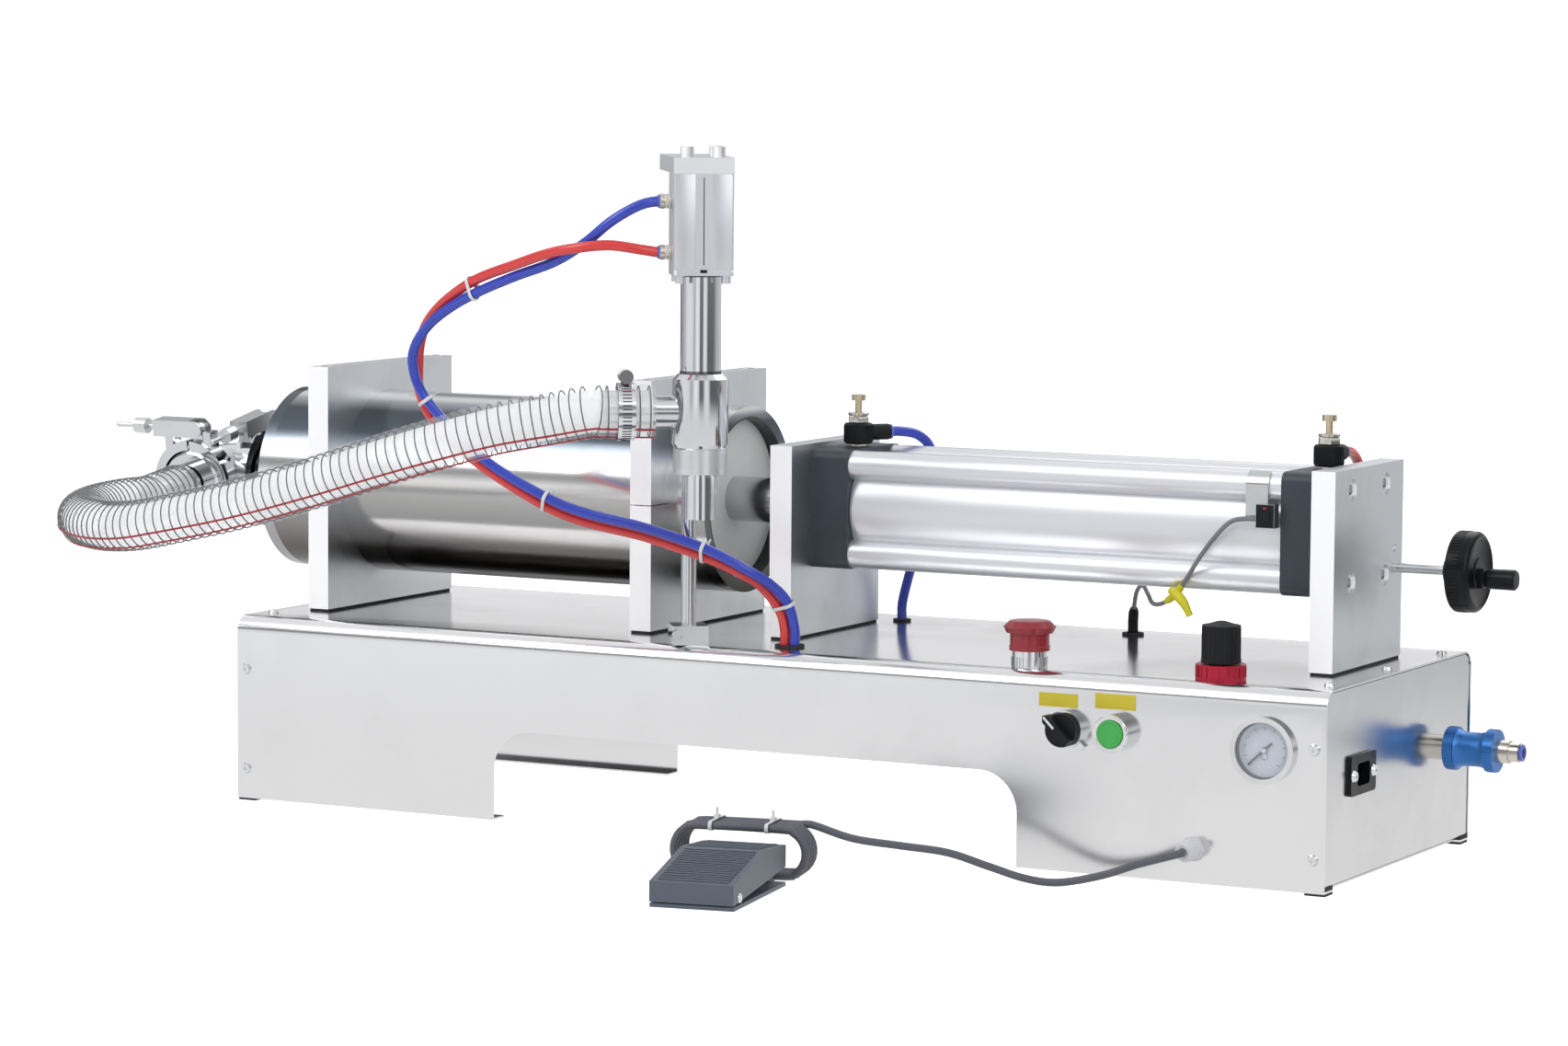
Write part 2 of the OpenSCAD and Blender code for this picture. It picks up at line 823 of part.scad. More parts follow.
// Housing: front, top and back bent from one sheet, with a bay for bottles cut through
function hole_list() = concat(
  [for (g = grommet_list) [g[0], g[1], g[2] + grommet_wall + bolt_gap]],
  [for (b = bolt_places) [b[0], b[1], bolt_r + bolt_gap]],
  [[estop_x, estop_y, button_hole_r], [regulator_x, regulator_y, reg_hole_r + bolt_gap],
   [stand_x, stand_y, stand_r + fit_gap]],
  [for (x = [top_screw_in, cover_l - top_screw_in], y = top_screws_y) [x, y, screw_r + bolt_gap]]);
module cover_section() {
  difference() {
    arch_2d(cover_w, cover_h, bend_r);
    at([sheet_t, sheet_t])
      arch_2d(cover_w - 2 * sheet_t, cover_h - 2 * sheet_t, bend_r - sheet_t);
    at([flange_w, -over]) square([cover_w - 2 * flange_w, sheet_t + 2 * over]);
  }
}
module housing_cover() placed() color("#dfe0e2") difference() {
  along_x(cover_l) cover_section();
  at([left_leg, cover_w + over, -over]) rotate([90, 0, 0])
    linear_extrude(cover_w + 2 * over) arch_2d(bay_end - left_leg, bay_h + over, bay_r);
  for (h = hole_list()) at([h[0], h[1], cover_h - sheet_t - over])
    bar_z(sheet_t + 2 * over, h[2]);
  for (h = [[selector_x, button_z, button_hole_r], [button_x, button_z, button_hole_r],
      [gauge_x, gauge_z, gauge_body_r + fit_gap], [gland_x, gland_z, gland_thread_r + bolt_gap]])
    at([h[0], -over, h[1]]) bar_y(sheet_t + 2 * over, h[2]);
  for (x = [screw_in, cover_l - screw_in], z = side_screws_z, y = [-over, cover_w - sheet_t - over])
    at([x, y, z]) bar_y(sheet_t + 2 * over, screw_r + bolt_gap);
  for (f = foot_places) at([f[0], f[1], -over])
    bar_z(sheet_t + 2 * over, foot_stem_r + bolt_gap);
}

// End panels with flanges turned inwards
module end_panel() difference() {
  union() {
    at([panel_recess, panel_y, panel_lift]) along_x(sheet_t) arch_2d(panel_w, panel_h, panel_r);
    at([panel_recess, panel_y, panel_lift]) along_x(panel_flange) difference() {
      arch_2d(panel_w, panel_h, panel_r);
      at([sheet_t, -over])
        arch_2d(panel_w - 2 * sheet_t, panel_h - sheet_t + over, panel_r - sheet_t);
    }
  }
  for (z = side_screws_z) at([screw_in, -over, z]) bar_y(cover_w + 2 * over, screw_r + bolt_gap);
  for (y = top_screws_y) at([top_screw_in, y, panel_lift + panel_h - sheet_t - over])
    bar_z(sheet_t + 2 * over, screw_r + bolt_gap);
}
module end_panels() placed() color("#b9babf") {
  end_panel();
  difference() {
    at([cover_l, 0, 0]) mirror([1, 0, 0]) end_panel();
    at([panel_face - sheet_t - over, inlet_y, inlet_z]) along_x(sheet_t + 2 * over)
      square([inlet_body_w + 2 * fit_gap, inlet_body_h + 2 * fit_gap], center = true);
    for (side = [-1, 1])
      at([panel_face - sheet_t, inlet_y + side * inlet_ear, inlet_z])
        hole_x(sheet_t, screw_r + bolt_gap);
    at([panel_face - sheet_t, air_in_y, air_in_z]) hole_x(sheet_t, air_thread_r + bolt_gap);
  }
}

// Tray under the right leg with a partition toward the bay
module service_tray() placed() color("#c9cacd") difference() {
  union() {
    at([tray_x, tray_y, sheet_t]) cube([tray_end - tray_x, cover_w - 2 * tray_y, sheet_t]);
    at([tray_x, tray_y, sheet_t]) cube([sheet_t, cover_w - 2 * tray_y, partition_top - sheet_t]);
  }
  for (f = foot_places) at([f[0] - foot_w / 2 - tray_gap, f[1] - foot_w / 2 - tray_gap, 0])
    cube([foot_w + 2 * tray_gap, foot_w + 2 * tray_gap, panel_lift]);
}
module rubber_feet() placed() color("#17181b") for (f = foot_places) at([f[0], f[1], 0]) {
  at([-foot_w / 2, -foot_w / 2, -foot_lift]) cube([foot_w, foot_w, foot_lift]);
  bar_z(sheet_t, foot_stem_r);
  at([-foot_w / 2, -foot_w / 2, sheet_t]) cube([foot_w, foot_w, panel_lift - sheet_t]);
}

// A cross-slotted panel screw that points down, with its head's underside at zero
module panel_screw(l) {
  difference() {
    cylinder(h = screw_head_h, r1 = screw_head_r, r2 = screw_head_r - screw_head_h / 2);
    for (turn = [0, 90]) rotate([0, 0, turn])
      at([-screw_r, -screw_head_h / 4, screw_head_h / 2])
        cube([2 * screw_r, screw_head_h / 2, screw_head_h]);
  }
  up(-l) bar_z(l, screw_r);
}
module socket_bolt(r, head, head_h, l) {
  difference() {
    bar_z(head_h, head);
    up(head_h / 2) cylinder(h = head_h, r = head * socket_share, $fn = 6);
  }
  up(-l) bar_z(l, r);
}
module housing_screws() placed() color("#d5d6d8") {
  for (x = [screw_in, cover_l - screw_in], z = side_screws_z) {
    at([x, 0, z]) rotate([90, 0, 0]) panel_screw(screw_len);
    at([x, cover_w, z]) rotate([-90, 0, 0]) panel_screw(screw_len);
  }
  for (x = [top_screw_in, cover_l - top_screw_in], y = top_screws_y)
    at([x, y, cover_h]) panel_screw(screw_len);
  for (side = [-1, 1]) at([panel_face + inlet_lip, inlet_y + side * inlet_ear, inlet_z])
    rotate([0, 90, 0]) panel_screw(screw_len);
  for (b = bolt_places) at([b[0], b[1], cover_h - sheet_t]) {
    up(-bolt_head_h) cylinder(h = bolt_head_h, r = bolt_head_r, $fn = 6);
    bar_z(sheet_t + gasket_t + bolt_bite, bolt_r);
  }
  for (x = [cradle_x1, cradle_x2], side = [-1, 1])
    at([x + cradle_t / 2, axis_y + side * cap_screw_y, cradle_top - cap_screw_head_h])
      socket_bolt(bolt_r, cap_screw_head_r, cap_screw_head_h,
        cradle_top - cap_screw_head_h - axis_z + bolt_bite);
}

// Gaskets under the plates and grommets in the top
module grommet(g) at([g[0], g[1], 0]) {
  up(cover_h) pipe_z(grommet_lip, g[2] + grommet_wall + grommet_groove, g[2]);
  up(cover_h - sheet_t) pipe_z(sheet_t, g[2] + grommet_wall, g[2]);
  up(cover_h - sheet_t - grommet_lip)
    pipe_z(grommet_lip, g[2] + grommet_wall + grommet_groove, g[2]);
}
module rubber_seals() placed() color("#222428") {
  difference() {
    for (p = plate_list) at([p[0] + gasket_in, axis_y - p[1] / 2 + gasket_in, cover_h])
      cube([p[2] - 2 * gasket_in, p[1] - 2 * gasket_in, gasket_t]);
    for (b = bolt_places) at([b[0], b[1], cover_h - over])
      bar_z(gasket_t + 2 * over, bolt_r + bolt_gap);
  }
  for (g = grommet_list) grommet(g);
}

// Mains inlet and the pedal cord's gland
module power_inlet() placed() color("#1a1c20") at([panel_face, inlet_y, inlet_z]) {
  difference() {
    union() {
      along_x(inlet_lip) round_2d(inlet_w, inlet_h, inlet_corner);
      at([-inlet_body_l, 0, 0]) along_x(inlet_body_l)
        square([inlet_body_w, inlet_body_h], center = true);
    }
    at([inlet_lip - inlet_hole_l, 0, 0]) along_x(inlet_hole_l + over)
      round_2d(inlet_hole_w, inlet_hole_h, inlet_corner);
    for (side = [-1, 1]) at([0, side * inlet_ear, 0]) hole_x(inlet_lip, screw_r + bolt_gap);
  }
  for (p = inlet_pins) at([-inlet_hole_l, p[0] - inlet_pin_t / 2, p[1] - inlet_pin_w / 2])
    cube([inlet_pin_l + inlet_lip, inlet_pin_t, inlet_pin_w]);
}
module cable_gland() placed() color("#d8d8de") at([gland_x, 0, gland_z]) rotate([90, 0, 0])
  difference() {
    union() {
      cylinder(h = gland_hex_l, r = gland_hex_r, $fn = 6);
      bar_z(gland_hex_l + gland_dome_l, gland_dome_r);
      up(gland_hex_l + gland_dome_l)
        cylinder(h = gland_tip_l, r1 = gland_dome_r, r2 = gland_tip_r);
      up(-sheet_t - gland_nut_l) bar_z(sheet_t + gland_nut_l, gland_thread_r);
      up(-sheet_t - gland_nut_l) cylinder(h = gland_nut_l, r = gland_hex_r, $fn = 6);
    }
    up(-sheet_t - gland_nut_l - over)
      bar_z(gland_end + sheet_t + gland_nut_l + 2 * over, cord_r + fit_gap);
  }

// Valve bank inside the right leg
module solenoid_valves() placed() color("#5a626c") at([bank_x, bank_y, 2 * sheet_t]) {
  cube([bank_l, bank_w, bank_h]);
  for (k = [0 : solenoids - 1]) at([(k + 0.5) * bank_l / solenoids, bank_w / 2, bank_h]) {
    at([-solenoid_t / 2, -solenoid_w / 2, 0]) cube([solenoid_t, solenoid_w, solenoid_h]);
    at([coil_in - solenoid_t / 2, coil_in - solenoid_w / 2, solenoid_h])
      cube([solenoid_t - 2 * coil_in, solenoid_w - 2 * coil_in, coil_h]);
    at([0, -bank_w / 2, -bank_h / 2]) rotate([90, 0, 0]) bar_z(push_fit_l, push_fit_r);
  }
}

// Cradles: split plates that clamp the filling tube
module cradle_part(x, z0, z1) difference() {
  at([x, axis_y - cradle_w / 2, z0]) cube([cradle_t, cradle_w, z1 - z0]);
  at([x, axis_y, axis_z]) hole_x(cradle_t, tube_r + run_gap);
  for (side = [-1, 1]) {
    at([x + cradle_t / 2, axis_y + side * (cradle_w / 2 - bolt_edge), plate_foot - over])
      bar_z(bolt_bite + over, bolt_r + bolt_gap);
    at([x + cradle_t / 2, axis_y + side * cap_screw_y, axis_z - bolt_bite - over])
      bar_z(cradle_top - axis_z + bolt_bite, bolt_r + bolt_gap);
    at([x + cradle_t / 2, axis_y + side * cap_screw_y, cradle_top - cap_screw_head_h])
      bar_z(cap_screw_head_h + over, cap_screw_head_r + bolt_gap);
  }
}
module cradle_bases() placed() color("#c6c9cc")
  for (x = [cradle_x1, cradle_x2]) cradle_part(x, plate_foot, axis_z - split_gap / 2);
module cradle_caps() placed() color("#d0d3d6")
  for (x = [cradle_x1, cradle_x2]) cradle_part(x, axis_z + split_gap / 2, cradle_top);

// Filling tube, its end cap and the piston
module filling_tube() placed() color("#b4b8bb") at([tube_left + end_cap_t, axis_y, axis_z])
  pipe_x(tube_l - end_cap_t, tube_r, bore_r);
// A clamp ferrule whose sealing face lies at zero
module ferrule() {
  bar_z(ferrule_t, ferrule_r);
  up(ferrule_t) cylinder(h = ferrule_slope, r1 = ferrule_r, r2 = port_r);
}
module tube_end_cap() placed() color("#c0c4c7") at([port_face_x, axis_y, axis_z])
  rotate([0, 90, 0]) difference() {
    union() {
      ferrule();
      bar_z(port_l, port_r);
      up(port_l) bar_z(end_cap_t, tube_r);
      up(port_l + end_cap_t) bar_z(spigot_l, bore_r - run_gap);
    }
    hole_z(port_l + end_cap_t + spigot_l, port_bore);
  }
module filling_piston() placed() color("#f1f2f0") at([piston_right - piston_t, axis_y, axis_z])
  rotate([0, 90, 0]) difference() {
    bar_z(piston_t, bore_r - slide_gap);
    for (z = [piston_t / 4, 3 * piston_t / 4]) up(z - piston_groove_w / 2)
      pipe_z(piston_groove_w, tube_r, bore_r - piston_groove_d);
    up(piston_t - piston_stud_l - fit_gap)
      bar_z(piston_stud_l + fit_gap + over, piston_stud_r + bolt_gap);
  }
module drive_rod() placed() color("#9da2a6") at([0, axis_y, axis_z]) {
  at([piston_right - piston_stud_l, 0, 0]) bar_x(piston_stud_l, piston_stud_r);
  at([piston_right, 0, 0]) bar_x(coupling_right - piston_right, coupling_d / 2);
  at([coupling_right, 0, 0]) bar_x(air_piston_x - coupling_right, air_rod_r);
  at([air_piston_x, 0, 0]) bar_x(air_piston_t, air_bore / 2 - slide_gap);
}

// Upright plates at both ends of the air cylinder
module tie_places() for (y = [-1, 1], z = [-1, 1])
  at([0, axis_y + y * tie_pitch / 2, axis_z + z * tie_pitch / 2]) children();
module cylinder_plate(x, w) difference() {
  at([x, axis_y - w / 2, plate_foot]) cube([plate_t, w, plate_h]);
  for (side = [-1, 1]) at([x + plate_t / 2, axis_y + side * (w / 2 - bolt_edge), plate_foot - over])
    bar_z(bolt_bite + over, bolt_r + bolt_gap);
  at([x - over, 0, 0]) tie_places() bar_x(plate_t + 2 * over, tie_r + bolt_gap);
}
module cylinder_plates() placed() color("#c4c8cb") {
  difference() {
    union() {
      cylinder_plate(front_plate_x, front_plate_w);
      at([front_plate_x - boss_h, axis_y, axis_z]) bar_x(boss_h, boss_r);
    }
    at([front_plate_x - boss_h, axis_y, axis_z]) hole_x(plate_t + boss_h, nose_r + fit_gap);
    at([front_plate_x - over, 0, 0]) tie_places() bar_x(tie_sink + over, tie_head_r + bolt_gap);
    at([front_cap_x - bearing_l, screw_y, screw_z]) bar_x(bearing_l + over, dose_r + run_gap);
    at([front_cap_x - bearing_l, screw_y, guide_z]) bar_x(bearing_l + over, guide_r + run_gap);
  }
  difference() {
    cylinder_plate(rear_plate_x, rear_plate_w);
    at([rear_plate_x + plate_t - tie_sink, 0, 0]) tie_places()
      bar_x(tie_sink + over, tie_head_r + bolt_gap);
    for (bore = [[screw_z, dose_r], [guide_z, guide_r]])
      at([rear_plate_x, screw_y, bore[0]]) hole_x(plate_t, bore[1] + run_gap);
  }
}

// Air cylinder
module cap_block(x) difference() {
  at([x, axis_y, axis_z]) along_x(cap_t) round_2d(cap_w, cap_w, cap_corner);
  at([x - over, 0, 0]) tie_places() bar_x(cap_t + 2 * over, tie_r + bolt_gap);
  at([x + cap_t / 2 + flow_shift, axis_y, cap_top_z - flow_stud_l])
    bar_z(flow_stud_l + over, flow_stud_r + bolt_gap);
}
module air_caps() placed() color("#3c4854") {
  difference() {
    union() {
      cap_block(front_cap_x);
      at([front_cap_x - plate_t, axis_y, axis_z]) bar_x(plate_t, nose_r);
    }
    at([front_cap_x - plate_t, axis_y, axis_z]) hole_x(plate_t + cap_t, air_rod_r + run_gap);
  }
  cap_block(rear_cap_x);
}
module air_barrel() placed() color("#e2e3e7") at([barrel_x, axis_y, axis_z])
  along_x(barrel_l()) difference() {
    union() {
      circle(barrel_r);
      for (y = [-1, 1], z = [-1, 1]) at([y * tie_pitch / 2, z * tie_pitch / 2]) circle(lobe_r);
    }
    circle(air_bore / 2);
    for (y = [-1, 1], z = [-1, 1]) at([y * tie_pitch / 2, z * tie_pitch / 2]) circle(lobe_hole_r);
  }
function barrel_l() = rear_cap_x - barrel_x;
module tie_rods() placed() color("#aeb2b6") {
  at([front_plate_x + tie_sink, 0, 0]) tie_places() rotate([0, -90, 0])
    socket_bolt(tie_r, tie_head_r, tie_head_h, plate_t - tie_sink + cap_t + tie_bite);
  at([rear_plate_x + plate_t - tie_sink, 0, 0]) tie_places() rotate([0, 90, 0])
    socket_bolt(tie_r, tie_head_r, tie_head_h, plate_t - tie_sink + cap_t + tie_bite);
  at([front_cap_x - bearing_l, screw_y, guide_z])
    bar_x(rear_plate_x + plate_t - front_cap_x + bearing_l - guide_r, guide_r);
}

// Flow valves on the air cylinder's caps and push-in fittings on the nozzle's cylinder
module flow_valve(x, turn) at([x, axis_y, cap_top_z]) difference() {
  union() {
    up(-flow_stud_l) bar_z(flow_stud_l + flow_lift, flow_stud_r);
    up(flow_lift) bar_z(flow_top - flow_lift, flow_r);
    up(flow_top) cylinder(h = flow_nut_h, r = flow_nut_r, $fn = 6);
    up(flow_top + flow_nut_h) bar_z(flow_disc_h, flow_disc_r);
    up(flow_arm_z) rotate([0, 90, turn]) bar_z(flow_arm_l, flow_arm_r);
  }
  up(flow_thread_in) bar_z(flow_screw_top, flow_thread_r + run_gap);
  up(flow_arm_z) rotate([0, 90, turn]) up(flow_arm_l - flow_socket_l)
    bar_z(flow_socket_l + over, air_tube_r + fit_gap);
}
module push_fitting(z) at_nozzle() at([-arm_w / 2, 0, z]) rotate([0, -90, 0]) difference() {
  union() {
    up(-push_stud_l) bar_z(push_stud_l, push_stud_r);
    cylinder(h = push_fit_l / 2, r = push_fit_r, $fn = 6);
    bar_z(push_fit_l, push_fit_r - fit_gap);
  }
  bar_z(push_fit_l + over, air_tube_r + fit_gap);
}
module air_fittings() placed() color("#26292e") {
  flow_valve(front_flow_x, front_flow_turn);
  flow_valve(rear_flow_x, rear_flow_turn);
  push_fitting(lower_fit_z);
  push_fitting(upper_fit_z);
}
module flow_screw(x) placed() color("#c9b98a") at([x, axis_y, cap_top_z]) {
  up(flow_thread_in + fit_gap)
    bar_z(flow_screw_top - flow_thread_in - fit_gap, flow_thread_r);
  up(flow_screw_top - flow_head_h) bar_z(flow_head_h, flow_head_r);
}
module front_flow_screw() flow_screw(front_flow_x);
module rear_flow_screw() flow_screw(rear_flow_x);

// Strap over the front upper lobe, with the switch on its lower end
module switch_strap() placed() color("#9aa0a8") {
  at([strap_x, axis_y - tie_pitch / 2, axis_z + tie_pitch / 2]) difference() {
    union() {
      bar_x(strap_w, lobe_r + bolt_gap + strap_t);
      at([0, -lobe_r - bolt_gap - strap_t, -strap_drop]) cube([strap_w, strap_t, strap_drop]);
    }
    at([0, 0, 0]) hole_x(strap_w, lobe_r + bolt_gap);
    at([-over, -lobe_r / 2, -2 * lobe_r]) cube([strap_w + 2 * over, 3 * lobe_r, 4 * lobe_r]);
    at([-over, strap_t - lobe_r, -strap_drop - over])
      cube([strap_w + 2 * over, 2 * lobe_r, strap_drop + over]);
  }
  at([switch_x, axis_y - tie_pitch / 2 - lobe_r - bolt_gap - strap_t - switch_t,
      axis_z + tie_pitch / 2 - strap_drop]) cube([switch_w, switch_t, switch_h]);
}

// Dose screw with its handwheel, and the carriage that it moves
module dose_screw() placed() color("#15171a") {
  at([front_cap_x - bearing_l + fit_gap, screw_y, screw_z])
    bar_x(wheel_x + wheel_hub_l - front_cap_x + bearing_l - fit_gap, dose_r);
  at([carriage_x - carriage_travel - screw_stop_t - fit_gap, screw_y, screw_z])
    bar_x(screw_stop_t, dose_r + screw_stop_rise);
  at([wheel_x, screw_y, screw_z]) rotate([0, 90, 0]) {
    bar_z(wheel_hub_l, wheel_hub_r);
    up(wheel_hub_l) cylinder(h = wheel_chamfer, r1 = wheel_r - wheel_chamfer, r2 = wheel_r);
    up(wheel_hub_l + wheel_chamfer)
      bar_z(wheel_t - 2 * wheel_chamfer, wheel_r);
    up(wheel_hub_l + wheel_t - wheel_chamfer)
      cylinder(h = wheel_chamfer, r1 = wheel_r, r2 = wheel_r - wheel_chamfer);
    at([wheel_nub_drop, 0, wheel_hub_l + wheel_t - wheel_chamfer])
      bar_z(wheel_nub_l + wheel_chamfer, wheel_nub_r);
  }
}
module switch_carriage() placed() color("#d9dadc") difference() {
  at([carriage_x, carriage_front, screw_z - dose_r - carriage_wall])
    cube([carriage_l, carriage_back - carriage_front,
      guide_z - screw_z + guide_r + dose_r + 2 * carriage_wall]);
  at([carriage_x, screw_y, screw_z]) hole_x(carriage_l, dose_r + slide_gap);
  at([carriage_x, screw_y, guide_z]) hole_x(carriage_l, guide_r + slide_gap);
}

// Nozzle stand: clamp block on the housing, its pinch bolt and the rod
module nozzle_stand() placed() color("#b9bdc1") {
  at([stand_x, stand_y, cover_h]) rotate([0, 0, clamp_turn]) {
    difference() {
      at([-clamp_block / 2, -clamp_block / 2, 0]) cube([clamp_block, clamp_block, clamp_block_h]);
      hole_z(clamp_block_h, stand_r + run_gap);
      at([-clamp_split_l(), -clamp_slit / 2, -over])
        cube([clamp_split_l(), clamp_slit, clamp_block_h + 2 * over]);
      at([-clamp_bolt_x(), 0, clamp_block_h / 2]) rotate([90, 0, 0])
        cylinder(h = clamp_block + over, r = clamp_bolt_r + bolt_gap, center = true);
    }
    at([-clamp_bolt_x(), -clamp_block / 2, clamp_block_h / 2]) rotate([90, 0, 0])
      socket_bolt(clamp_bolt_r, clamp_bolt_head_r, clamp_bolt_head_h, clamp_block);
  }
  at([stand_x, stand_y, cover_h - sheet_t - stand_nut_h - over]) {
    bar_z(stand_top - cover_h + sheet_t + stand_nut_h + over, stand_r);
    up(over) cylinder(h = stand_nut_h, r = stand_nut_r, $fn = 6);
  }
}
function clamp_split_l() = clamp_block / 2 + over;
function clamp_bolt_x() = (clamp_block / 2 + stand_r) / 2;

// Nozzle arm with its bolts
module arm_bolts() for (x = [-1, 1], y = [-1, 1]) if (y < 0 || x > 0)
  at([x * arm_bolt_pitch / 2, y * arm_bolt_pitch / 2 - stand_offset, 0]) children();
module nozzle_arm() placed() color("#cfd1d4") at_stand() {
  difference() {
    at([-arm_w / 2, -stand_offset - arm_front, arm_underside])
      cube([arm_w, stand_offset + arm_front + arm_back, arm_t]);
    up(arm_underside - over) bar_z(arm_t + 2 * over, stand_r + run_gap);
    up(arm_underside - over) arm_bolts()
      bar_z(arm_t + 2 * over, arm_bolt_r + bolt_gap);
  }
  up(stand_top) arm_bolts()
    socket_bolt(arm_bolt_r, arm_bolt_head_r, arm_bolt_head_h, arm_t + foot_screw_in);
  at([set_screw_at[0], set_screw_at[1], stand_top])
    bar_z(set_screw_h, set_screw_r);
}

// Nozzle's air cylinder
module foot_screws() for (x = [-1, 1], y = [-1, 1])
  at([x * foot_screw_at, y * foot_screw_at, 0]) children();
module lift_cylinder() placed() color("#c3c5cb") at_nozzle() {
  difference() {
    up(lift_base) linear_extrude(lift_h) round_2d(arm_w, arm_w, lift_corner);
    up(lift_base + lift_wall) bar_z(lift_piston_t + plug_lift + 2 * fit_gap, lift_bore);
    up(lift_base - over) bar_z(lift_wall + 2 * over, stem_r + run_gap);
    at([0, stand_offset, arm_underside - foot_screw_in - over]) arm_bolts()
      bar_z(foot_screw_in + 2 * over, arm_bolt_r + bolt_gap);
    for (z = [lower_fit_z, upper_fit_z]) at([-arm_w / 2 - over, 0, z])
      bar_x(push_stud_l + over, push_stud_r + bolt_gap);
  }
  up(lift_base - foot_screw_h) foot_screws() bar_z(foot_screw_h, foot_screw_r);
}
module nozzle_neck() placed() color("#a9adb0") at_nozzle() up(neck_base)
  pipe_z(neck_l, neck_r, neck_r - neck_wall);

// Valve body with the branch that the hose slips over
module valve_body() placed() color("#b2b6b9") at_nozzle() difference() {
  union() {
    up(valve_base) {
      cylinder(h = valve_bevel, r1 = valve_r - valve_bevel / 2, r2 = valve_r);
      up(valve_bevel) bar_z(valve_h - 2 * valve_bevel, valve_r);
      up(valve_h - valve_bevel)
        cylinder(h = valve_bevel, r1 = valve_r, r2 = neck_r + valve_bevel / 2);
    }
    up(tip_top) bar_z(valve_base - tip_top, nut_bore - bolt_gap);
    at([-branch_l, 0, branch_z]) bar_x(branch_l, branch_r);
    at([-branch_l - barb_l, 0, branch_z]) bar_x(barb_l, barb_r);
  }
  up(tip_top - over) bar_z(neck_base - stem_guide - tip_top + over, valve_bore);
  up(neck_base - stem_guide - over) bar_z(stem_guide + 2 * over, stem_r + run_gap);
  at([-branch_l - barb_l - over, 0, branch_z]) bar_x(branch_l + barb_l + over, barb_r - barb_wall);
}
module nozzle_stem() placed() color("#d7d9db") at_nozzle() {
  up(tip_base + fit_gap) bar_z(plug_l, plug_r);
  up(tip_base + plug_l) bar_z(lift_base + lift_wall - tip_base - plug_l + fit_gap, stem_r);
  up(lift_base + lift_wall + fit_gap) bar_z(lift_piston_t, lift_bore - slide_gap);
}
module ring_nut() placed() color("#c5c8ca") at_nozzle() up(ring_nut_base) {
  pipe_z(ring_nut_h, ring_nut_r, nut_bore);
  pipe_z(nut_lip, ring_nut_r, tip_r + bolt_gap);
}
module nozzle_tip() placed() color("#b7babd") at_nozzle() difference() {
  union() {
    up(tip_base) bar_z(tip_l - tip_neck_l, tip_r);
    up(tip_base) bar_z(tip_top - tip_base, tip_r - tip_neck_in);
    up(tip_top - tip_flange_h) bar_z(tip_flange_h, nut_bore - bolt_gap);
  }
  up(tip_base - over) bar_z(tip_top - tip_base + 2 * over, tip_bore / 2);
  up(tip_base + seat_l) bar_z(tip_top - tip_base, tip_r - tip_wall);
}
module hose_band() placed() color("#c8cbce") at_nozzle() at([-band_at, 0, branch_z]) {
  at([-band_w / 2, 0, 0]) pipe_x(band_w, hose_d / 2 + fit_gap + band_t, hose_d / 2 + fit_gap);
  at([0, -band_screw_l / 2, hose_d / 2 + fit_gap + band_screw_r]) bar_y(band_screw_l, band_screw_r);
}

// Product hose: ribs outside, a plain bore inside
function hose_path() = concat(
  [for (d = [0, hose_d / 2, hose_d, hose_d + rib_pitch]) mouth_point(hose_start_l + d)],
  hose_route,
  [for (d = [hose_d + rib_pitch, hose_d, hose_d / 2, 0])
    stand_point(-branch_l - d, -stand_offset, branch_z)]);
module product_hose() placed() color([0.86, 0.88, 0.9, 0.6]) {
  smooth = curve(hose_path(), hose_fine);
  outer = step_points(smooth, rib_pitch / 2);
  inner = step_points(smooth, 2 * rib_pitch);
  up = [0, 0, 1];
  fo = frames(outer, up);
  fi = frames(inner, up);
  no = len(outer);
  ni = len(inner);
  points = concat(
    [for (i = [0 : no - 1]) each ring(outer[i], fo[i], hose_d / 2 - (i % 2) * rib_depth, hose_sides)],
    [for (i = [0 : ni - 1]) each ring(inner[i], fi[i], hose_bore / 2 / cos(180 / hose_sides), hose_sides)]);
  start = no * hose_sides;
  polyhedron(points, concat(
    skin(no, hose_sides, 0, true), skin(ni, hose_sides, start, false),
    collar(hose_sides, 0, start, true),
    collar(hose_sides, start - hose_sides, start + (ni - 1) * hose_sides, false)));
}

// Air tubes and cables that run free
module free_tube(path, r, sides) {
  cord_along(step_points(curve(path, hose_fine), tube_step), r, sides, [0, 0, 1]);
}
function down_grommet(g, shift) =
  [for (z = [tube_rise, 0, -tube_drop]) [g[0] + shift, g[1], cover_h + z]];
function fitting_end(z) = [for (share = lead_shares)
  stand_point(-arm_w / 2 - fit_gap - share * push_fit_l, -stand_offset, z)];
function valve_end(x, turn) = [for (d = [fit_gap, flow_socket_l, flow_socket_l + air_tube_d])
  [x + (flow_arm_l - flow_socket_l + d) * cos(turn),
   axis_y + (flow_arm_l - flow_socket_l + d) * sin(turn), cap_top_z + flow_arm_z]];
module blue_air_tube() placed() color("#2f46c8")
  free_tube(concat(fitting_end(upper_fit_z), blue_route,
    down_grommet(bundle_grommet, bundle_shift)), air_tube_r, tube_sides);
module red_air_tube() placed() color("#f0383a")
  free_tube(concat(fitting_end(lower_fit_z), red_route,
    down_grommet(bundle_grommet, -bundle_shift)), air_tube_r, tube_sides);
module cylinder_air_tubes() placed() color("#3146c4") {
  free_tube(concat(valve_end(front_flow_x, front_flow_turn), front_tube_route,
    down_grommet(front_tube_grommet, 0)), air_tube_r, tube_sides);
  free_tube(concat(valve_end(rear_flow_x, rear_flow_turn), rear_tube_route,
    down_grommet(rear_tube_grommet, 0)), air_tube_r, tube_sides);
}
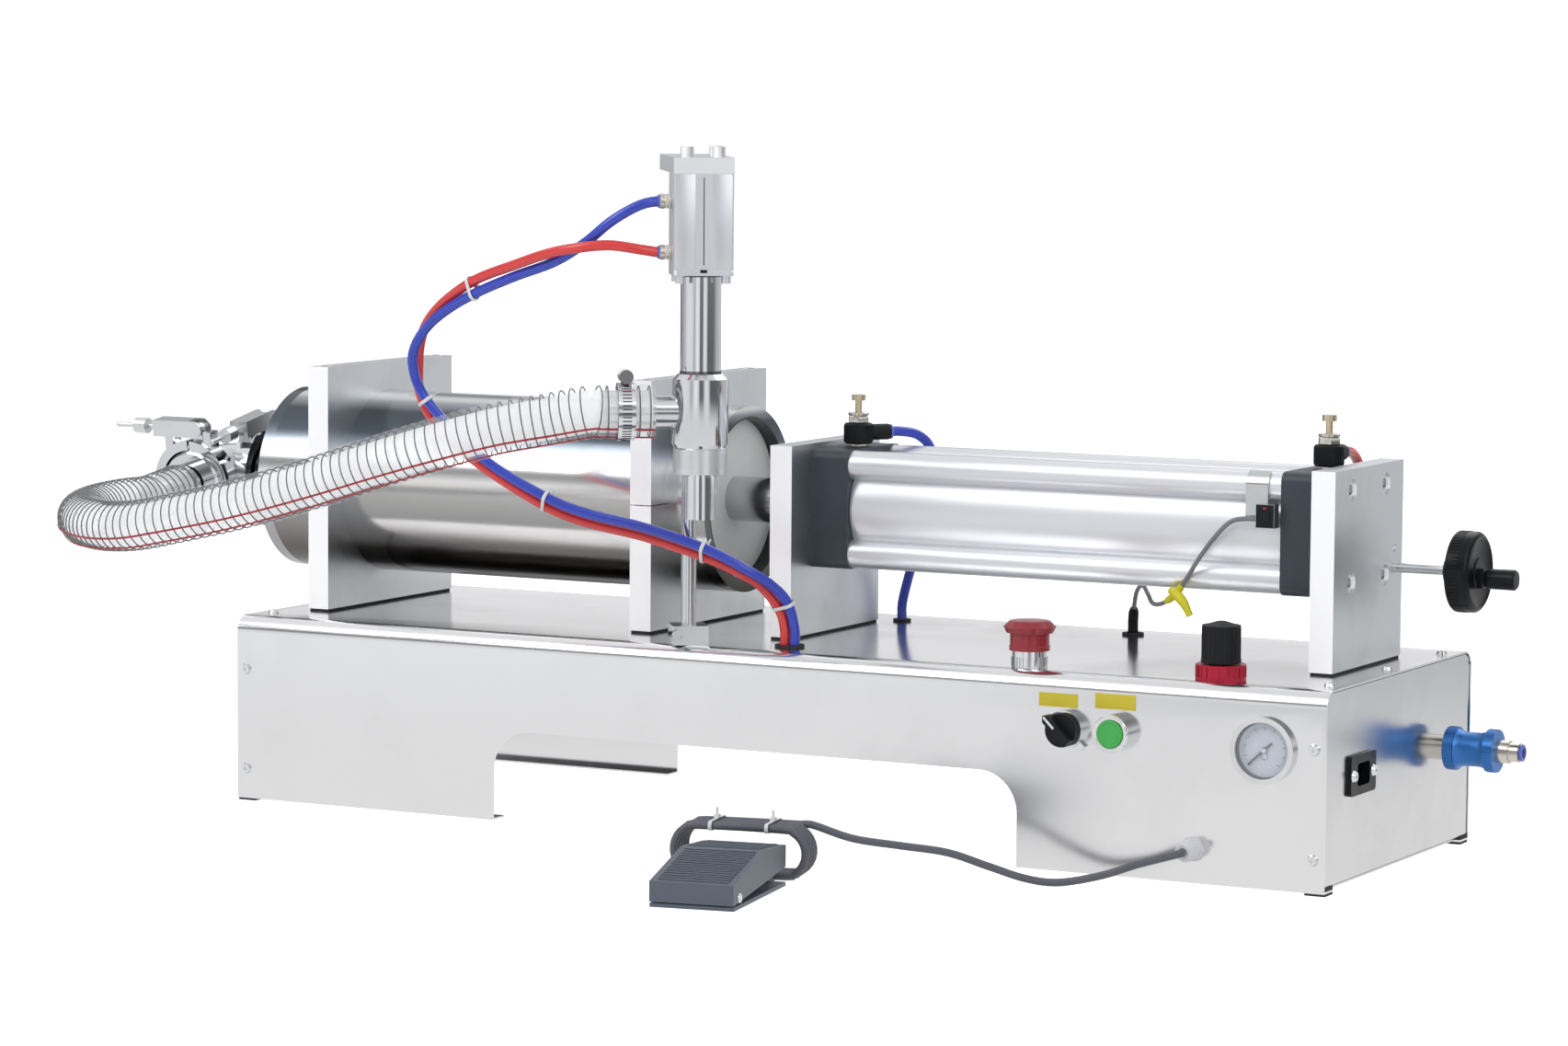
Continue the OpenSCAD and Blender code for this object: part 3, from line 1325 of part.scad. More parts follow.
module sensor_cable() placed() color("#8d8f96")
  free_tube(concat([for (d = [0, cable_lead]) [switch_x - d,
      axis_y - tie_pitch / 2 - lobe_r - bolt_gap - strap_t - switch_t / 2,
      axis_z + tie_pitch / 2 - strap_drop + cable_rise]], sensor_route,
    down_grommet(lead_grommet, 0)), cable_r, tube_sides);

// Elbow on the filling tube's port, and the adapter that the hose slips over
module at_elbow() at([elbow_x, axis_y, axis_z]) rotate([elbow_tilt, 0, 0]) children();
module elbow_solid(r) {
  at([elbow_r, -elbow_r, 0]) rotate([0, 0, 90]) rotate_extrude(angle = 90)
    at([elbow_r, 0]) circle(r);
}
module outlet_elbow() placed() color("#b9bdc0") at_elbow() difference() {
  union() {
    elbow_solid(port_r);
    at([elbow_r, 0, 0]) bar_x(elbow_lead, port_r);
    at([elbow_r + elbow_lead, 0, 0]) rotate([0, -90, 0]) ferrule();
    at([0, -mouth_l, 0]) bar_y(mouth_l - elbow_r, port_r);
    at([0, -mouth_l, 0]) rotate([-90, 0, 0]) ferrule();
  }
  elbow_solid(port_bore);
  at([elbow_r - run_gap, 0, 0]) bar_x(elbow_lead + over, port_bore);
  at([0, -mouth_l - over, 0]) bar_y(mouth_l - elbow_r + over + run_gap, port_bore);
}
module hose_adapter() placed() color("#c2c5c8") at_elbow() at([0, -mouth_l - seal_t, 0])
  rotate([90, 0, 0]) difference() {
    union() {
      ferrule();
      bar_z(adapter_l - seal_t, adapter_neck_r);
      bar_z(adapter_l - seal_t + barb_l, barb_r);
    }
    hole_z(adapter_l - seal_t + barb_l, barb_r - barb_wall);
  }

// Clamps: two hinged halves with lugs; the clamp's own axis is X and its lever lies on top
module clamp_section() {
  flat = ferrule_t + seal_t / 2 + clamp_clear;
  polygon([[clamp_lip_r, -clamp_w / 2], [clamp_r, -clamp_w / 2], [clamp_r, clamp_w / 2],
    [clamp_lip_r, clamp_w / 2], [ferrule_r + clamp_clear, flat], [ferrule_r + clamp_clear, -flat]]);
}
module clamp_half(side) difference() {
  rotate([0, 90, 0]) rotate_extrude() clamp_section();
  at([-clamp_w, side > 0 ? -clamp_d : -clamp_split / 2, -clamp_d])
    cube([2 * clamp_w, clamp_d + clamp_split / 2, 2 * clamp_d]);
}
module clamp_bore() {
  rotate([0, 90, 0]) cylinder(h = clamp_w, r = ferrule_r + clamp_clear, center = true);
}
module clamp() {
  root = clamp_r - knuckle_r / 2;
  clamp_half(1);
  clamp_half(-1);
  difference() {
    union() {
      at([-lug_half_t, pivot_y - lug_r, root - lug_r])
        cube([2 * lug_half_t, 2 * lug_r, pivot_z - root + lug_r]);
      at([-lug_half_t, pivot_y, pivot_z]) bar_x(2 * lug_half_t, lug_r);
    }
    at([-lug_half_t, pivot_y, pivot_z]) hole_x(2 * lug_half_t, lever_pin_r + run_gap);
    clamp_bore();
  }
  difference() {
    at([-prong_out, stop_y, root - stop_l]) cube([2 * prong_out, stop_l, lever_rise + stop_l]);
    clamp_bore();
  }
  difference() {
    at([-prong_out, prong_y, prong_root()])
      cube([2 * prong_out, prong_l, pivot_z - eye_screw_r - prong_root()]);
    at([-prong_in, prong_y - over, clamp_r]) cube([2 * prong_in, prong_l + 2 * over, clamp_r]);
    clamp_bore();
  }
  for (k = [-1, 1]) difference() {
    union() {
      at([knuckle_shift(k), 0, -knuckle_z]) bar_x(knuckle_half_l - bolt_gap, knuckle_r);
      at([knuckle_shift(k), k > 0 ? clamp_split / 2 : -knuckle_r - clamp_split / 2, -knuckle_z])
        cube([knuckle_half_l - bolt_gap, knuckle_r, knuckle_r]);
    }
    at([-clamp_w, 0, -knuckle_z]) bar_x(2 * clamp_w, hinge_pin_r + bolt_gap);
  }
  at([-knuckle_half_l, 0, -knuckle_z]) bar_x(2 * knuckle_half_l, hinge_pin_r);
}
function knuckle_shift(k) = k > 0 ? bolt_gap / 2 : bolt_gap / 2 - knuckle_half_l;
function prong_root() = ferrule_r - prong_l;
module at_port_clamp() at([port_face_x - seal_t / 2, axis_y, axis_z]) children();
module at_mouth_clamp() at_elbow() at([0, -mouth_l - seal_t / 2, 0]) rotate([0, 0, -90]) children();
module clamp_rings() placed() color("#c6c9cc") {
  at_port_clamp() clamp();
  at_mouth_clamp() clamp();
}
// Toggle lever in the clamp's own frame, with its closing screw
module clamp_lever() {
  for (x = [-lever_half_w, lever_half_w - lever_t]) {
    at([x, -lever_front, pivot_z - lever_half_h])
      cube([lever_t, lever_front + pivot_y, 2 * lever_half_h]);
    at([x, pivot_y, pivot_z]) bar_x(lever_t, lever_half_h);
  }
  at([-lever_half_w, -lever_front, pivot_z + lever_half_h - lever_t])
    cube([2 * lever_half_w, lever_front, lever_t]);
  at([-lever_half_w, -lever_front, pivot_z - eye_screw_r])
    cube([2 * lever_half_w, lever_t, lever_half_h + eye_screw_r]);
  at([-lever_half_w, pivot_y, pivot_z]) bar_x(2 * lever_half_w, lever_pin_r);
  at([0, -eye_end + eye_r, pivot_z]) bar_y(eye_end - eye_r - lever_front, eye_screw_r);
  at([0, -eye_nut_at - eye_nut_l, pivot_z]) bar_y(eye_nut_l, eye_nut_r);
  at([0, eye_r - eye_end, pivot_z]) sphere(eye_r);
}
module elbow_lever() placed() color("#d3d5d8") at_mouth_clamp() clamp_lever();
module port_lever() placed() color("#d3d5d8") at_port_clamp()
  at([0, pivot_y, pivot_z]) rotate([port_lever_turn, 0, 0])
    at([0, -pivot_y, -pivot_z]) clamp_lever();

// Bodies of the emergency stop, the selector and the power button, each with its contact block
module contact_body() {
  up(-sheet_t) pipe_z(sheet_t, thread_r, thread_bore_r);
  up(-sheet_t - contact_l) difference() {
    bar_z(contact_l, contact_r);
    up(contact_l - push_stem_l) bar_z(push_stem_l + over, thread_bore_r);
  }
}
module guide_disc(r, z) up(z) pipe_z(bezel_rim, thread_r, r + run_gap);
module control_bezels() placed() color("#c7cacd") {
  at([estop_x, estop_y, cover_h]) {
    contact_body();
    guide_disc(plunger_r, -bezel_rim);
    pipe_z(estop_collar_h, estop_collar_r, plunger_r + run_gap);
  }
  at([selector_x, 0, button_z]) rotate([90, 0, 0]) {
    contact_body();
    pipe_z(selector_rim_h, bezel_r, selector_hub_r + run_gap);
    up(-bezel_rim) pipe_z(bezel_rim, thread_r, selector_hub_r + run_gap);
    rotate([0, 0, -selector_tab_turn]) at([bezel_r - selector_tab, -selector_tab / 2, 0])
      cube([2 * selector_tab, selector_tab, selector_rim_h / 2]);
  }
  at([button_x, 0, button_z]) rotate([90, 0, 0]) {
    contact_body();
    pipe_z(bezel_out, bezel_r, push_cap_r + fit_gap);
    up(-bezel_rim) pipe_z(bezel_rim, thread_r, push_stem_r + run_gap);
  }
}
module estop_plunger() placed() color("#3a3d42") at([estop_x, estop_y, cover_h])
  up(-push_stem_l / 2) bar_z(push_stem_l / 2 + estop_lift + estop_skirt_h, plunger_r);
module estop_head() placed() color("#9c2833") at([estop_x, estop_y, cover_h + estop_lift]) difference() {
  union() {
    bar_z(estop_skirt_h, estop_skirt_r);
    up(estop_skirt_h)
      cylinder(h = estop_head_h / 2, r1 = mushroom_d / 2 - estop_head_h / 4, r2 = mushroom_d / 2);
    up(estop_skirt_h + estop_head_h / 2)
      cylinder(h = estop_head_h / 2, r1 = mushroom_d / 2, r2 = mushroom_d / 2 - estop_head_h / 2);
  }
  hole_z(estop_travel + estop_collar_h - estop_lift, estop_collar_r + fit_gap);
  up(-over) bar_z(estop_skirt_h + over, plunger_r + run_gap);
}
module selector_knob() placed() color("#15181c") at([selector_x, 0, button_z]) rotate([90, 0, 0]) {
  up(-push_stem_l / 2) bar_z(push_stem_l / 2 + selector_rim_h + fit_gap, selector_hub_r);
  up(selector_rim_h + fit_gap) bar_z(selector_disc_h, selector_disc_r);
  rotate([0, 0, selector_turn]) up(selector_rim_h + fit_gap)
    linear_extrude(selector_out - selector_rim_h - fit_gap)
      polygon([[-selector_disc_r, -selector_grip / 2], [selector_disc_r, -selector_grip / 2],
        [selector_disc_r + selector_grip / 2, 0], [selector_disc_r, selector_grip / 2],
        [-selector_disc_r, selector_grip / 2]]);
}
module power_button() placed() color("#3fbe55") at([button_x, 0, button_z]) rotate([90, 0, 0]) {
  up(bezel_out + push_proud - push_cap_h) bar_z(push_cap_h, push_cap_r);
  up(-push_stem_l / 2) bar_z(push_stem_l / 2 + bezel_out - push_proud, push_stem_r);
}

// Air regulator and gauge
module regulator_body() placed() color("#c01a3a") at([regulator_x, regulator_y, cover_h]) difference() {
  union() {
    cylinder(h = reg_nut_h, r = reg_nut_d / 2, $fn = 12);
    up(-sheet_t) bar_z(sheet_t, reg_hole_r);
    up(-sheet_t - reg_body_h) bar_z(reg_body_h, reg_body_r);
  }
  up(reg_nut_h - reg_stem_l) bar_z(reg_stem_l + over, reg_stem_r + run_gap);
}
module regulator_knob() placed() color("#101418") at([regulator_x, regulator_y, cover_h + reg_nut_h]) {
  up(-reg_stem_l + fit_gap) bar_z(reg_stem_l + reg_knob_gap, reg_stem_r);
  up(reg_knob_gap) bar_z(reg_knob_h, reg_knob_d / 2);
  up(reg_knob_gap + reg_knob_h)
    cylinder(h = reg_knob_tip, r1 = reg_knob_d / 2 - reg_knob_tip / 2, r2 = reg_knob_tip);
}
module gauge_case() placed() color("#8e949b") at([gauge_x, 0, gauge_z]) rotate([90, 0, 0]) difference() {
  union() {
    bar_z(gauge_out, gauge_r);
    up(-gauge_body_l) bar_z(gauge_body_l, gauge_body_r);
    up(-gauge_body_l - gauge_port_l / 2) cylinder(h = gauge_port_l, r = gauge_hex_r, $fn = 6);
    up(-gauge_body_l - gauge_port_l) bar_z(gauge_port_l, gauge_port_r);
  }
  up(dial_out) bar_z(gauge_out - dial_out + over, gauge_r - gauge_rim);
  up(dial_out - needle_pin_l - over) bar_z(needle_pin_l + 2 * over, needle_pin_r + run_gap);
}
module gauge_needle() placed() color("#17191c") at([gauge_x, 0, gauge_z]) rotate([90, 0, 0]) {
  up(dial_out - needle_pin_l) bar_z(needle_pin_l + needle_lift + needle_t, needle_pin_r);
  up(dial_out + needle_lift) {
    bar_z(needle_t, needle_hub_r);
    rotate([0, 0, needle_angle]) at([-needle_tail, -needle_w / 2, 0])
      cube([needle_l + needle_tail, needle_w, needle_t]);
  }
}
module gauge_lens() placed() color([0.85, 0.9, 0.95, 0.3])
  at([gauge_x, -gauge_out + lens_in + lens_t, gauge_z]) rotate([90, 0, 0])
    bar_z(lens_t, gauge_r - gauge_rim - run_gap);

// Compressed air inlet with its slide valve
module air_inlet() placed() color("#b7bbbf")
  at([panel_face, air_in_y, air_in_z]) rotate([0, 90, 0]) difference() {
  union() {
    up(-air_thread_l) bar_z(air_thread_l, air_thread_r);
    up(-sheet_t - air_nut_l) cylinder(h = air_nut_l, r = air_hex_r, $fn = 6);
    cylinder(h = air_hex_l, r = air_hex_r, $fn = 6);
    bar_z(air_hex_l + air_body_l, air_body_r);
    bar_z(air_hex_l + air_body_l + air_end_l, air_end_r);
  }
  up(-air_thread_l - over) bar_z(air_inlet_l() + over, air_bore_r);
  up(air_inlet_l() - air_thread_l - air_socket_l)
    bar_z(air_socket_l + over, air_tube_r + bolt_gap / 2);
}
function air_inlet_l() = air_thread_l + air_hex_l + air_body_l + air_end_l;
module valve_sleeve() placed() color("#2257a4") at([panel_face + air_hex_l + fit_gap, air_in_y, air_in_z])
  rotate([0, 90, 0]) difference() {
    union() {
      bar_z(sleeve_l, sleeve_waist_r);
      for (z = [0, sleeve_l - sleeve_rim_l]) up(z) bar_z(sleeve_rim_l, sleeve_r);
    }
    hole_z(sleeve_l, air_body_r + slide_gap);
  }

// Foot pedal
module at_pedal() at([pedal_x, pedal_y, -foot_lift]) rotate([0, 0, pedal_turn]) children();
pedal_ear_x = pedal_wall + pedal_ear_gap;
module pedal_base() placed() color("#525c68") at_pedal() {
  at([0, pedal_gap, 0]) cube([pedal_w, pedal_l - pedal_gap, pedal_plate_t]);
  for (x = [pedal_ear_x, pedal_w - pedal_ear_x - pedal_ear_t]) {
    at([x, pedal_pin_y - pedal_ear_r, 0]) cube([pedal_ear_t, 2 * pedal_ear_r, pedal_pin_z]);
    at([x, pedal_pin_y, pedal_pin_z]) bar_x(pedal_ear_t, pedal_ear_r);
  }
  at([(pedal_w - pedal_block_w) / 2, pedal_ridge_y - pedal_block_l / 2, 0])
    cube([pedal_block_w, pedal_block_l, pedal_block_h]);
  for (s = [[pedal_gap, pedal_plate_t], [-pedal_gap, outlet_h]]) at([outlet_x, pedal_l - s[0], 0])
    cube([outlet_w, hank_y + cord_r - pedal_l + s[0], s[1]]);
  at([0, pedal_pin_y, pedal_pin_z]) bar_x(pedal_w, pedal_pin_r);
}
module tread_side(in) {
  polygon([[in, pedal_plate_t + pedal_gap], [in, pedal_front_h - in], [pedal_ridge_y, pedal_h - in],
    [pedal_l - in, pedal_back_h - in], [pedal_l - in, pedal_tail_z], [pedal_l / 2, pedal_tail_mid()]]);
}
function pedal_tail_mid() = (pedal_plate_t + pedal_gap + pedal_tail_z) / 2;
module pedal_tread() placed() color("#5d6773") at_pedal() difference() {
  along_x(pedal_w) tread_side(0);
  at([pedal_wall, 0, 0]) along_x(pedal_w - 2 * pedal_wall) {
    tread_side(pedal_wall);
    at([pedal_wall, -over]) square([pedal_l - 2 * pedal_wall, pedal_tail_z + over]);
  }
  at([0, pedal_pin_y, pedal_pin_z]) hole_x(pedal_w, pedal_pin_r + run_gap);
}

// Pedal cord: loops that stand on edge behind the pedal, then the free run to the gland
function hank_side(k) = k % (hank_rings / 2) == 0 ? 0 : (k < hank_rings / 2 ? 1 : -1);
function hank_turn(k) = let (i = k % hank_rings, a = 360 * i / hank_rings)
  pedal_point(hank_mid - hank_fold * sin(a) - hank_side(i) * hank_run / 2,
    hank_y + hank_pitch * k / hank_rings, cord_r + hank_fold * (1 - cos(a)));
function hank_end(d) = pedal_point(hank_mid + hank_run / 2 + d,
  hank_y + hank_ends * hank_pitch, cord_r + 2 * hank_fold);
module cord_hank() placed() color("#6e6e78")
  cord_along(concat([for (d = [0, hank_lead]) pedal_point(outlet_x - d, hank_y, cord_r)],
    [for (k = [1 : hank_ends * hank_rings]) hank_turn(k)],
    [for (d = [0, hank_lead]) hank_end(d)]), cord_r, hank_sides,
    [-sin(pedal_turn), cos(pedal_turn), 0]);
module pedal_cord() placed() color("#6e6e78")
  cord_along(step_points(curve(concat([for (d = [1, 2]) hank_end(d * hank_lead)], pedal_route,
    [for (d = [hank_lead, 0]) [gland_x, -gland_end - d, gland_z]]), hose_fine), cord_step),
    cord_r, tube_sides, [0, 0, 1]);

housing_cover();
end_panels();
service_tray();
rubber_feet();
housing_screws();
rubber_seals();
power_inlet();
cable_gland();
solenoid_valves();
cradle_bases();
cradle_caps();
filling_tube();
tube_end_cap();
filling_piston();
drive_rod();
cylinder_plates();
air_caps();
air_barrel();
tie_rods();
air_fittings();
front_flow_screw();
rear_flow_screw();
switch_strap();
dose_screw();
switch_carriage();
nozzle_stand();
nozzle_arm();
lift_cylinder();
nozzle_neck();
valve_body();
nozzle_stem();
ring_nut();
nozzle_tip();
hose_band();
product_hose();
blue_air_tube();
red_air_tube();
cylinder_air_tubes();
sensor_cable();
outlet_elbow();
hose_adapter();
clamp_rings();
elbow_lever();
port_lever();
control_bezels();
estop_plunger();
estop_head();
selector_knob();
power_button();
regulator_body();
regulator_knob();
gauge_case();
gauge_needle();
gauge_lens();
air_inlet();
valve_sleeve();
pedal_base();
pedal_tread();
pedal_cord();
cord_hank();
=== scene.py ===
"""Looks for a horizontal piston filler: finishes for its solids, free hoses and cords, and fine detail."""

from __future__ import annotations

import json
import logging
import math
from dataclasses import dataclass, field
from enum import Enum
from typing import Callable, Iterable, Sequence

import bmesh
import bpy
from mathutils import Matrix, Vector

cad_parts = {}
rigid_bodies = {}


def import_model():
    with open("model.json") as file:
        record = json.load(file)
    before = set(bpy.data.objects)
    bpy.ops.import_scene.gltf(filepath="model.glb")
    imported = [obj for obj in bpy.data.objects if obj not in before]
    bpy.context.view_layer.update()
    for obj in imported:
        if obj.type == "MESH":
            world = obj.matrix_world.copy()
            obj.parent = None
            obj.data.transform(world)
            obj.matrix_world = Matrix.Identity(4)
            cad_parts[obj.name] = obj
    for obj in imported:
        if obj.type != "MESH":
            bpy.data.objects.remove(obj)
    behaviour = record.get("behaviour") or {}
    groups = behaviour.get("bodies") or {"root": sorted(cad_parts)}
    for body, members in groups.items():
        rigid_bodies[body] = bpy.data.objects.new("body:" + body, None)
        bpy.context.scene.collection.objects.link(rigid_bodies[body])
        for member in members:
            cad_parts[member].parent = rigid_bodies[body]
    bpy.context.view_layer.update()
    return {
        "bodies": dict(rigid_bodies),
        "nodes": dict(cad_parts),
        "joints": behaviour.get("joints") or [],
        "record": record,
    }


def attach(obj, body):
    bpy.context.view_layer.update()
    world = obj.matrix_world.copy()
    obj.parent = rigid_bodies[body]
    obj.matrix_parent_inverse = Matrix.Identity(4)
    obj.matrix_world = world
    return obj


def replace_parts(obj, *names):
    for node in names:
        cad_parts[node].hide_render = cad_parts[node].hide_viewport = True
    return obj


LOG = logging.getLogger("filler")
MM = 0.001
ORIGIN = (412.0, 11.1, -2.0)
COVER_TOP = 149.0
AXIS_Y, AXIS_Z = 158.0, 251.0
STAND = (406.0, 24.0)
SWING = 34.0
ARM_REACH = 90.0
OUTLET_Z = 337.0
BLUE_PORT_Z, RED_PORT_Z = 496.44, 457.94
FLOW_VALVES = ((485.5, 50.0), (885.5, 90.0))
PEDAL_AT = (544.0, -283.0, -2.0)
PEDAL_TURN = 10.0
HANK_ROWS = 4.5
HANK_PITCH = 6.9
HANK_START = 136.0
Point = tuple[float, float, float]


def place(x: float, y: float, z: float) -> Vector:
    """Turns millimetres in the housing's own frame into metres in the row frame.

    Args:
        x: Distance along the housing from its left end.
        y: Distance back from its front.
        z: Height above its bottom edge.

    Returns:
        The point in the row frame.
    """
    return Vector((x - ORIGIN[0], y - ORIGIN[1], z - ORIGIN[2])) * MM


def turned(x: float, y: float, degrees: float) -> tuple[float, float]:
    """Turns a flat point about the origin.

    Args:
        x: First coordinate.
        y: Second coordinate.
        degrees: Angle, counted against the clock.

    Returns:
        The turned coordinates.
    """
    c, s = math.cos(math.radians(degrees)), math.sin(math.radians(degrees))
    return x * c - y * s, x * s + y * c


def on_stand(x: float, y: float, z: float) -> Point:
    """Gives a point of the nozzle arm's frame in the housing's frame."""
    dx, dy = turned(x, y, SWING)
    return STAND[0] + dx, STAND[1] + dy, z


def on_pedal(x: float, y: float, z: float) -> Point:
    """Gives a point of the pedal's frame in the housing's frame."""
    dx, dy = turned(x, y, PEDAL_TURN)
    return PEDAL_AT[0] + dx, PEDAL_AT[1] + dy, PEDAL_AT[2] + z


def along_arm(x: float, z: float) -> Matrix:
    """Gives the frame at a point of the nozzle's side whose height points along the arm.

    Args:
        x: Place along the arm.
        z: Height above the housing's bottom edge.

    Returns:
        The frame.
    """
    spot = place(*on_stand(x, -ARM_REACH, z))
    way = (place(*on_stand(x - 1.0, -ARM_REACH, z)) - spot).normalized()
    return Matrix.Translation(spot) @ way.to_track_quat("Z", "Y").to_matrix().to_4x4() @ Matrix.Scale(MM, 4)


def off(frame: Matrix, x: float, y: float, z: float) -> Matrix:
    """Gives a frame that is shifted in its own directions."""
    return frame @ Matrix.Translation((x, y, z))


class Axis(Enum):
    """The way in which a turned piece's own height points."""

    UP = ("Z", 0.0)
    RIGHT = ("Y", 90.0)
    FRONT = ("X", 90.0)

    def at(self, centre: Vector) -> Matrix:
        """Gives the matrix that stands a turned piece on a point.

        Args:
            centre: The point, in the row frame.

        Returns:
            A matrix from the piece's frame, in millimetres, to the row frame.
        """
        about, degrees = self.value
        return Matrix.Translation(centre) @ Matrix.Rotation(math.radians(degrees), 4,
                                                            about) @ Matrix.Scale(MM, 4)


# Node trees


# Name and socket type of a group's one output
TREES = {"Shader": ("Value", "Float"), "Geometry": ("Geometry", "Geometry")}


class Graph:
    """Short calls that build a node tree."""

    def __init__(self, tree: bpy.types.NodeTree) -> None:
        """Keeps the tree.

        Args:
            tree: The tree to build in.
        """
        self.tree = tree

    @classmethod
    def group(cls, draw: Callable, kind: str, inputs: dict[str, tuple]) -> bpy.types.NodeTree:
        """Builds a group once, or finds it where it has been built; it has the name of what draws it.

        Args:
            draw: Draws the inside and gives the node that feeds the output.
            kind: Shader or Geometry.
            inputs: Socket type and default of each input.

        Returns:
            The group's tree.
        """
        if draw.__name__ in bpy.data.node_groups:
            return bpy.data.node_groups[draw.__name__]
        graph = cls(bpy.data.node_groups.new(draw.__name__, f"{kind}NodeTree"))
        face = graph.tree.interface
        for label, (sort, *default) in inputs.items():
            socket = face.new_socket(label, in_out="INPUT", socket_type=f"NodeSocket{sort}")
            if default:
                socket.default_value = default[0]
        label, sort = TREES[kind]
        face.new_socket(label, in_out="OUTPUT", socket_type=f"NodeSocket{sort}")
        given = graph.node("NodeGroupInput").outputs
        graph.node("NodeGroupOutput", {label: draw(graph, given)})
        return graph.tree

    def node(self, kind: str, feeds: dict | None = None, **settings: object) -> bpy.types.Node:
        """Adds a node.

        Args:
            kind: Its type; a shader node goes without its prefix.
            feeds: Values, sockets or whole nodes for its inputs.
            settings: Its properties.

        Returns:
            The node.
        """
        plain = kind.startswith(("Geometry", "Function", "NodeGroup"))
        node = self.tree.nodes.new(kind if plain else f"ShaderNode{kind}")
        for key, value in settings.items():
            setattr(node, key, value)
        self.feed(node, feeds or {})
        return node

    def feed(self, node: bpy.types.Node, feeds: dict) -> None:
        """Feeds a node.

        Args:
            node: The node.
            feeds: Values, sockets or whole nodes for its inputs.
        """
        for key, value in feeds.items():
            if isinstance(value, bpy.types.Node):
                value = next(socket for socket in value.outputs if socket.enabled)
            if isinstance(value, bpy.types.NodeSocket):
                self.tree.links.new(value, node.inputs[key])
            else:
                node.inputs[key].default_value = value

    def math(self, operation: str, *values: object) -> bpy.types.Node:
        """Adds a sum of values, sockets or nodes."""
        return self.node("Math", dict(enumerate(values)), operation=operation)

    def mix(self, factor: object, low: object, high: object, **settings: object) -> bpy.types.Node:
        """Adds a mix of two colours, each a tone, a socket or a node."""
        low, high = ((*tone, 1.0) if isinstance(tone, tuple) else tone for tone in (low, high))
        return self.node("Mix", {"Factor": factor, "A": low, "B": high}, data_type="RGBA", **settings)

    def ramp(self, factor: object, stops: Sequence[tuple[float, Point]]) -> bpy.types.Node:
        """Adds a colour ramp.

        Args:
            factor: What runs along it.
            stops: Place and tone of each stop, from zero to one.

        Returns:
            The ramp.
        """
        node = self.node("ValToRGB", {"Fac": factor})
        tones = node.color_ramp.elements
        tones[0].color, tones[-1].color = (*stops[0][1], 1.0), (*stops[-1][1], 1.0)
        for spot, tone in stops[1:-1]:
            tones.new(spot).color = (*tone, 1.0)
        return node


GRAIN_INPUTS = {"Vector": ("Vector",), "Scale": ("Float", 500.0), "Contrast": ("Float", 1.0)}
SMUDGE_INPUTS = {"Vector": ("Vector",), "Scale": ("Float", 12.0)}


def fine_grain(graph: Graph, given: dict) -> bpy.types.Node:
    """Draws fine lines or speckle: noise on coordinates that the caller has stretched.

    Args:
        graph: The tree.
        given: Its inputs.

    Returns:
        Its last node.
    """
    noise = graph.node("TexNoise", {"Vector": given["Vector"], "Scale": given["Scale"], "Detail": 3.0})
    low, high = (graph.math("MULTIPLY_ADD", given["Contrast"], way, 0.5) for way in (-0.25, 0.25))
    return graph.node("MapRange", {"Value": noise, "To Min": low, "To Max": high})


def soft_smudges(graph: Graph, given: dict) -> bpy.types.Node:
    """Draws soft clouds from handling, mostly zero with a few broad patches.

    Args:
        graph: The tree.
        given: Its inputs.

    Returns:
        Its last node.
    """
    noise = graph.node("TexNoise", {
        "Vector": given["Vector"], "Scale": given["Scale"], "Detail": 5.0, "Roughness": 0.65})
    return graph.node("MapRange", {"Value": noise, "From Min": 0.45, "From Max": 0.7},
                      interpolation_type="SMOOTHSTEP")


# Finishes


